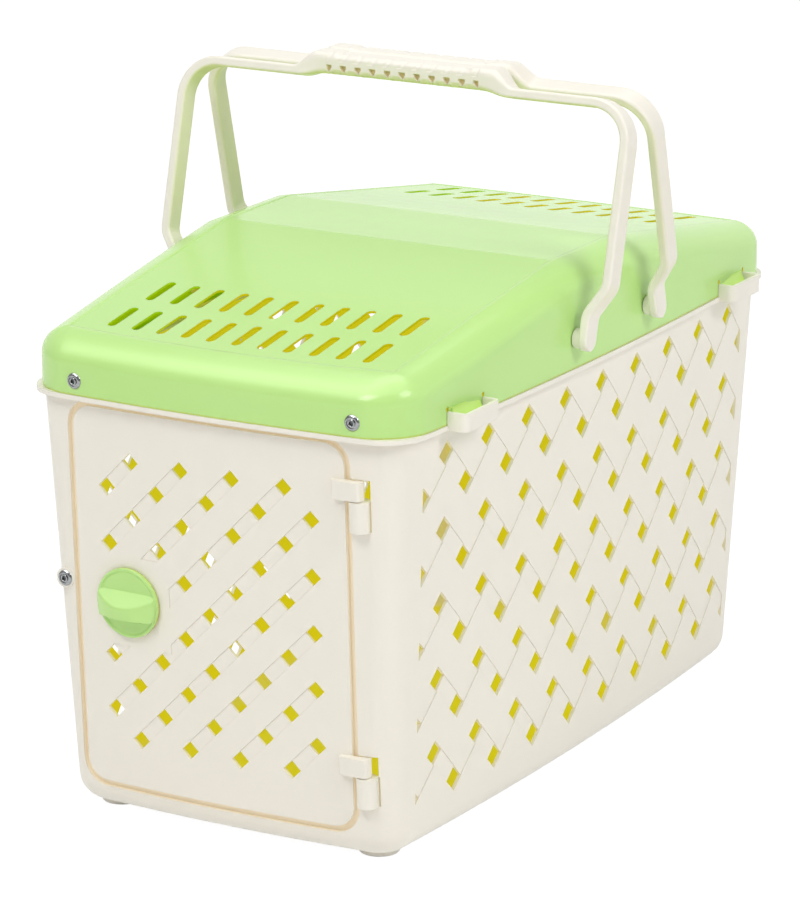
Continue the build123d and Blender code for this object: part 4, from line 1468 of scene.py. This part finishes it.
@dataclass
class TurnKnob:
    """The lime knob: a dished disc with a full-width ridge, on a shaft that ends in a square."""

    x: float = -59.4
    height: float = 135.4
    radius: float = 21.0
    gap: float = 0.3
    thickness: float = 3.0
    rim: float = 1.2
    dish: float = 0.8
    dish_run: float = 1.4
    ridge_height: float = 8.0
    ridge_inset: float = 0.9
    ridge_end: float = 2.0
    ridge_above: float = 7.0
    ridge_below: float = 9.0
    ridge_steepness: float = 12.0
    ridge_edge: float = 0.7
    crest_below: float = 1.2
    grip_fall: float = 0.8
    back_edge: float = 0.4
    shaft_radius: float = 6.0
    drive_half: float = 3.5
    drive_start: float = -12.4
    drive_end: float = -15.3
    shade_run: float = 0.3
    shade_inset: float = 0.5
    shade_least: float = 0.5
    shade_fall: Pair = (8.0, -10.0)
    rows: int = 121
    columns: int = 97

    def face(self, x: Array, y: Array) -> Array:
        """Height of the face over the door, with a rounded rim, a dish and the ridge.

        The rim's edge is a quarter circle of radius e: top - e + sqrt(e^2 - (r - R + e)^2). The ridge is the
        rounded minimum of an arc across the disc and three flats up it: a long slope above the crest, a
        nearly level front below it and a steep underside.

        Args:
            x: place across the disc.
            y: place up the disc.

        Returns:
            The height of each point.
        """
        top = self.gap + self.thickness
        crest = top + self.ridge_height
        floor = top - self.dish
        edge = self.rim / 2
        reach = np.hypot(x, y)
        past = np.clip(reach - self.radius + edge, 0, edge)
        dish_edge = self.radius - self.rim
        face = top - edge + np.sqrt(np.maximum(edge**2 - past**2, 0))
        face -= self.dish * smooth(reach, dish_edge, dish_edge - self.dish_run)
        width = self.radius - self.ridge_inset
        arc = floor + self.ridge_end + (crest - floor - self.ridge_end) * (1 - (x / width) ** 2)
        slope = floor + (self.ridge_above - y) * (crest - floor) / (self.ridge_above + self.crest_below)
        front = crest + (y + self.crest_below) * self.grip_fall / (self.ridge_below - self.crest_below)
        under = floor + (y + self.ridge_below) * self.ridge_steepness
        ridge = soft_minimum([arc, slope, front, under], self.ridge_edge)
        return np.maximum(face, np.where(reach < width, ridge, floor))

    def body(self) -> Shell:
        """The whole knob about its own seat.

        The face's grid has rows y = R sin v with x = u sqrt(R^2 - y^2) along them, so the ridge keeps to the
        rows. Loops under it close the disc's back, the shaft and the square drive.

        Returns:
            The closed shell: across, up and out of the door.
        """
        v = np.linspace(-math.pi / 2, math.pi / 2, self.rows)
        u = np.sin(np.linspace(-math.pi / 2, math.pi / 2, self.columns))
        y = self.radius * np.sin(v)[:, None] + np.zeros_like(u)[None]
        x = np.sqrt(np.maximum(self.radius**2 - y**2, 0)) * u[None]
        flat = np.stack([x, y, self.face(x, y)], axis=-1)
        rim = np.vstack([flat[:, -1], flat[::-1, 0]])
        share = rim[:, :2] / self.radius
        square = share / np.maximum(np.abs(share).max(axis=1, keepdims=True), TINY) * self.drive_half
        shaft = share * self.shaft_radius
        levels = [
            (rim[:, :2], self.gap + self.back_edge),
            (share * (self.radius - self.back_edge), self.gap),
            (shaft, self.gap),
            (shaft, self.drive_start),
            (square, self.drive_start),
            (square, self.drive_end),
            (square * 0.0, self.drive_end),
        ]
        loops = [rim] + [np.column_stack([place, np.full(len(rim), level)]) for place, level in levels]
        return outward(grid_shell(flat) + grid_shell(np.stack(loops), closed_across=True).reversed())

    def build(self, finishes: Finishes) -> None:
        """Build the knob on the leaning, bowed front wall, with painted shade on the side of its disc,
        strongest at the bottom.

        Args:
            finishes: the materials.
        """
        rise = WALLS.rim_height - WALLS.foot_height
        turn = math.asin(self.x / WALLS.arc_radius(WALLS.rim_half_width))
        lean = math.atan((WALLS.rim_half_length - WALLS.base_half_length) / rise)
        across = np.array([math.cos(turn), math.sin(turn), 0.0])
        out = np.array([math.sin(turn) * math.cos(lean), -math.cos(turn) * math.cos(lean), -math.sin(lean)])
        seat = np.array([self.x, WALLS.front_y(self.x, self.height), self.height])
        local = self.body()
        placed = seat + local.points @ np.stack([across, np.cross(out, across), out])
        mesh, first = build_mesh("turn_knob", Shell(placed, local.faces))
        place = local.points[first]
        # Painted shade: the disc's side wall is painted darker olive, more so at the bottom.
        side, least = self.gap + self.thickness - self.rim / 2, self.shade_least
        low = smooth(place[:, 2], side, side - self.shade_run)
        low *= np.hypot(place[:, 0], place[:, 1]) > self.radius - self.shade_inset
        mark(mesh, "shade", low * (least + (1 - least) * smooth(place[:, 1], *self.shade_fall)), "POINT")
        Piece("turn_knob", Body.LATCH, Slot.LIME, ("knob",), smooth_angle=32.0).dress(mesh, finishes)


@dataclass
class BlindRivets:
    """Blind rivets: a domed head with a raised ring round the bore, a shank and the bulged tail."""

    head_radius: float = 4.75
    head_height: float = 1.7
    shank_radius: float = 2.4
    bore_radius: float = 1.35
    tail_radius: float = 3.4
    tail_length: float = 2.99
    lid_x: Pair = (-89.0, 94.0)
    lid_height: float = 265.4
    lid_grip: float = 4.5
    keeper_x: float = -105.0
    keeper_height: float = 142.5
    keeper_proud: float = 1.0
    keeper_grip: float = 11.58
    points: int = 56

    def profile(self, grip: float) -> Array:
        """Closed profile of a rivet.

        Args:
            grip: thickness of the stack it holds.

        Returns:
            Radius and place along the axis of each of its points.
        """
        r, h, b = self.head_radius, self.head_height, self.bore_radius
        t, s = self.tail_radius, self.shank_radius
        end = -grip - self.tail_length
        ring = [(0.0, -1.0), (0.0, -0.25), (0.18, -0.04), (0.45, 0.0), (0.75, -0.04), (0.95, -0.22)]
        ring += [(1.0, -0.98), (1.6, -1.02), (1.7, -0.46)]
        dome = [(-1.3, -0.42), (-0.7, -0.70), (-0.25, -1.15), (-0.04, -1.45)]
        rest = [(r, 0.12), (r - 0.1, 0.0), (s, 0.0), (s, -grip), (t - 0.5, -grip - 0.05), (t, -grip - 0.6)]
        rest += [(t, end + 0.99), (t - 0.6, end + 0.19), (s, end), (b, end), (b, h - 1.0)]
        head = [(b + out, h + up) for out, up in ring] + [(r + out, h + up) for out, up in dome]
        return np.array(head + rest)

    def seats(self) -> list[tuple[str, Array, Array, float]]:
        """Where the rivets sit.

        Returns:
            The CAD node, place, outward direction and grip of each rivet.
        """
        out = []
        for x in self.lid_x:
            turn = math.asin(x / WALLS.arc_radius(WALLS.lid_half_width))
            y = WALLS.end_y(x, WALLS.lid_half_width, WALLS.lid_half_length)
            for side in (1.0, -1.0):
                place = np.array([side * x, side * y, self.lid_height])
                way = side * np.array([math.sin(turn), -math.cos(turn), 0.0])
                out.append(("lid_rivets", place, way, self.lid_grip))
        wall_y = WALLS.front_y(self.keeper_x, self.keeper_height) - self.keeper_proud
        keeper = np.array([self.keeper_x, wall_y, self.keeper_height])
        return [*out, ("keeper_rivet", keeper, np.array([0.0, -1.0, 0.0]), self.keeper_grip)]

    def build(self, finishes: Finishes) -> None:
        """Build the lid rivets as one piece and the keeper rivet as another.

        Args:
            finishes: the materials.
        """
        shells: dict[str, Shell] = {}
        for node, place, way, grip in self.seats():
            across = np.cross(way, np.array([0.0, 0.0, 1.0]))
            shell = turned_shell(self.profile(grip), place, across / np.linalg.norm(across), way, self.points)
            shells[node] = shells[node] + shell if node in shells else shell
        for node, shell in shells.items():
            mesh, _ = build_mesh(f"blind_{node}", shell)
            Piece(f"blind_{node}", Body.CARRIER, Slot.RIVET, (node,), smooth_angle=42.0).dress(mesh, finishes)


@dataclass
class SnapTongues:
    """The lid's four snap tongues: wedges that bulge into the basket's clip loops."""

    clip_y: float = 172.0
    width: float = 31.0
    reach: float = 3.9
    side_reach: float = 0.86
    side_run: float = 1.2
    first_share: float = 0.05
    gap: float = 0.6
    height: float = 9.6
    root: float = 1.0
    painted_glow: float = 0.3
    rows: int = 15
    columns: int = 33

    def build(self, finishes: Finishes) -> None:
        """Build the four tongues.

        The outer face leans out from the wall by reach * (1 - smooth(share of the height)), and by a little
        less at its sides.

        Args:
            finishes: the materials.
        """
        wall_x = WALLS.lid_side_x(self.clip_y)
        rise = np.linspace(0, 1, self.rows)
        y, share = np.meshgrid(np.linspace(-self.width / 2, self.width / 2, self.columns), rise)
        fade = np.clip((self.width / 2 - np.abs(y)) / self.side_run, 0, 1)
        side = self.side_reach + (1 - self.side_reach) * np.sqrt(1 - (1 - fade) ** 2)
        bulge = self.reach * (1 - smooth(share * (1 - self.first_share) + self.first_share)) * side
        z = WALLS.flange_top + self.gap + share * (self.height - self.gap)
        outer = np.stack([wall_x + bulge, y, z], axis=-1)
        inner = np.stack([np.full_like(y, wall_x - self.root), y, z], axis=-1)
        tongue = capped_loft(np.concatenate([outer, inner[:, ::-1]], axis=1))
        tongues = []
        for side in (-1.0, 1.0):
            for end in (-1.0, 1.0):
                points = tongue.points * np.array([side, 1.0, 1.0]) + np.array([0.0, end * self.clip_y, 0.0])
                tongues.append(outward(Shell(points, tongue.faces)))
        mesh, _ = build_mesh("lid_snap_tongues", sum(tongues[1:], tongues[0]))
        # Painted light: the tongues get a yellower colour and a little painted glow.
        mark(mesh, "depth", np.full(len(mesh.loops), self.painted_glow))
        Piece("lid_snap_tongues", Body.CARRIER, Slot.LIME, ("lid",)).dress(mesh, finishes)


# Carried-over nodes


CARRIED_OVER: dict[str, Slot] = {
    "latch_keeper": Slot.PLATE,
    "latch_tongue": Slot.CREAM,
    "latch_washer": Slot.PLATE,
    "latch_screw": Slot.PIN,
    "rivet_mandrels": Slot.PIN,
}


def dress_carried_over(finishes: Finishes) -> None:
    """Give the CAD nodes whose shape is right their real material.

    Args:
        finishes: the materials.
    """
    for node, slot in CARRIED_OVER.items():
        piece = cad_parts[node]
        piece.data.materials.clear()
        piece.data.materials.append(finishes.of[slot])
        LOG.info("%s: carried over in %s", node, slot.value)


# Studio


@dataclass
class Studio:
    """A white seamless studio: soft lamps, a white floor and world, and the camera of the photograph.

    In gloss the room is dark towards the front, bright in a low band behind the carrier and brightest
    overhead, which whitens the rear slope and the flat top of the lid. A soft box high on the left pales the
    front shoulder and the knob's ridge.
    """

    azimuth: float = 29.49
    elevation: float = 15.80
    focal_px: float = 4572.9
    target: tuple[float, ...] = (10.12, -37.62, 189.08)
    distance: float = 2750.8
    sensor_mm: float = 36.0
    clip_end_m: float = 50.0
    ambient: float = 0.46
    dark_room: float = 0.32
    bright_wall: float = 1.15
    band_height: Pair = (0.85, 0.3)
    band_behind: Pair = (-0.3, 0.3)
    overhead_from: Pair = (0.72, 0.92)
    overhead: float = 1.7
    key_way: tuple[float, ...] = (-0.45, -0.20, 0.87)
    key_edge: Pair = (0.90, 0.98)
    key_sheen: float = 2.1
    backdrop: float = 1.06
    aim_m: tuple[float, ...] = (0.0, 0.0, 0.2)
    floor_reach_m: float = 6.0
    floor_gap_m: float = 0.0002
    paper: float = 0.94
    floor_glow: float = 1.12
    floor_share: float = 0.86

    def build(self) -> None:
        """Build the camera, lamps, floor and world."""
        self.camera()
        self.lamp("key_softbox", place=(-0.3, -2.0, 2.5), size=1.1, watts=32.0)
        self.lamp("side_softbox", place=(2.3, -0.5, 2.0), size=1.1, watts=26.0)
        self.lamp("top_softbox", place=(-0.4, 0.9, 2.7), size=1.6, watts=11.0)
        self.floor()
        self.world()
        bpy.context.scene.view_settings.view_transform = "Standard"

    def camera(self) -> None:
        """Place the camera on the sight line of the photograph."""
        a, e = math.radians(self.azimuth), math.radians(self.elevation)
        back = Vector((math.sin(a) * math.cos(e), -math.cos(a) * math.cos(e), math.sin(e)))
        right = Vector((math.cos(a), math.sin(a), 0))
        place = (Vector(self.target) + self.distance * back) * MM
        data = bpy.data.cameras.new("photo_camera")
        data.sensor_width = self.sensor_mm
        data.lens = self.focal_px * self.sensor_mm / max(PHOTO_WIDTH, PHOTO_HEIGHT)
        data.clip_end = self.clip_end_m
        camera = add_object("photo_camera", data)
        turn = Matrix((right, back.cross(right), back)).transposed().to_4x4()
        camera.matrix_world = Matrix.Translation(place) @ turn
        bpy.context.scene.camera = camera

    def lamp(self, name: str, place: tuple[float, float, float], size: float, watts: float) -> None:
        """Hang a square soft box that looks at the carrier.

        Args:
            name: name of the lamp.
            place: its place in metres.
            size: its side in metres.
            watts: its power.
        """
        data = bpy.data.lights.new(name, "AREA")
        data.size = size
        data.energy = watts
        lamp = add_object(name, data)
        lamp.location = place
        aim = Vector(self.aim_m) - Vector(place)
        lamp.rotation_euler = aim.to_track_quat("-Z", "Y").to_euler()

    def floor(self) -> None:
        """A white floor that shows white to the camera and still takes the carrier's soft shadow."""
        reach = self.floor_reach_m
        corners = [(-reach, -reach, 0), (reach, -reach, 0), (reach, reach, 0), (-reach, reach, 0)]
        mesh = bpy.data.meshes.new("studio_floor")
        mesh.from_pydata(corners, [], [(0, 1, 2, 3)])
        material = bpy.data.materials.new("white_paper_sweep")
        material.use_nodes = True
        kit = NodeKit(material.node_tree)
        kit.tree.nodes.clear()
        paper = kit.add("BsdfDiffuse", Color=(self.paper, self.paper, self.paper, 1)).outputs["BSDF"]
        glow = kit.add("Emission", Color=(1, 1, 1, 1), Strength=self.floor_glow).outputs["Emission"]
        ray = kit.add("LightPath").outputs
        seen = kit.math("MAXIMUM", ray["Is Camera Ray"], ray["Is Glossy Ray"])
        mix = kit.add("MixShader", Fac=kit.math("MULTIPLY", seen, self.floor_share), i1=paper, i2=glow)
        kit.add("OutputMaterial", Surface=mix.outputs["Shader"])
        mesh.materials.append(material)
        floor = add_object("studio_floor", mesh)
        floor.location.z = CAD_LOW.z - self.floor_gap_m

    def world(self) -> None:
        """White for the camera, a softer even light on the object, and a room that reflects in its gloss."""
        world = bpy.data.worlds.new("white_studio")
        world.use_nodes = True
        kit = NodeKit(world.node_tree)
        kit.tree.nodes.clear()
        ray = kit.add("LightPath").outputs
        heading = kit.add("TexCoord").outputs["Generated"]
        way = kit.add("SeparateXYZ", Vector=heading).outputs
        low, behind = kit.ramp(way["Z"], *self.band_height), kit.ramp(way["Y"], *self.band_behind)
        band = kit.math("MULTIPLY", low, behind)
        above = kit.ramp(way["Z"], *self.overhead_from)
        walls = kit.ramp(kit.math("MAXIMUM", band, above), 0.0, 1.0, self.dark_room, self.bright_wall)
        toward_key = kit.add("VectorMath", {"operation": "DOT_PRODUCT"}, i0=heading, i1=self.key_way)
        key = kit.ramp(toward_key.outputs["Value"], *self.key_edge)
        gloss = kit.math("MULTIPLY_ADD", above, self.overhead, walls)
        gloss = kit.math("MULTIPLY_ADD", key, self.key_sheen, gloss)
        lit = kit.pick(ray["Is Glossy Ray"], self.ambient, gloss)
        strength = kit.pick(ray["Is Camera Ray"], lit, self.backdrop)
        sky = kit.add("Background", Color=(1, 1, 1, 1), Strength=strength)
        kit.add("OutputWorld", Surface=sky.outputs["Background"])
        bpy.context.scene.world = world


def main() -> None:
    """Build the dressed carrier and the studio, piece by piece."""
    logging.basicConfig(level=logging.INFO, format="%(name)s: %(message)s")
    finishes = Finishes()
    dress_carried_over(finishes)
    Basket().build(finishes)
    LidShell().build(finishes)
    SnapTongues().build(finishes)
    BlindRivets().build(finishes)
    TurnKnob().build(finishes)
    CarryingHandle(Body.FRONT_HANDLE, front=True).build(finishes)
    CarryingHandle(Body.REAR_HANDLE, front=False).build(finishes)
    Studio().build()


if __name__ == "__main__":
    main()
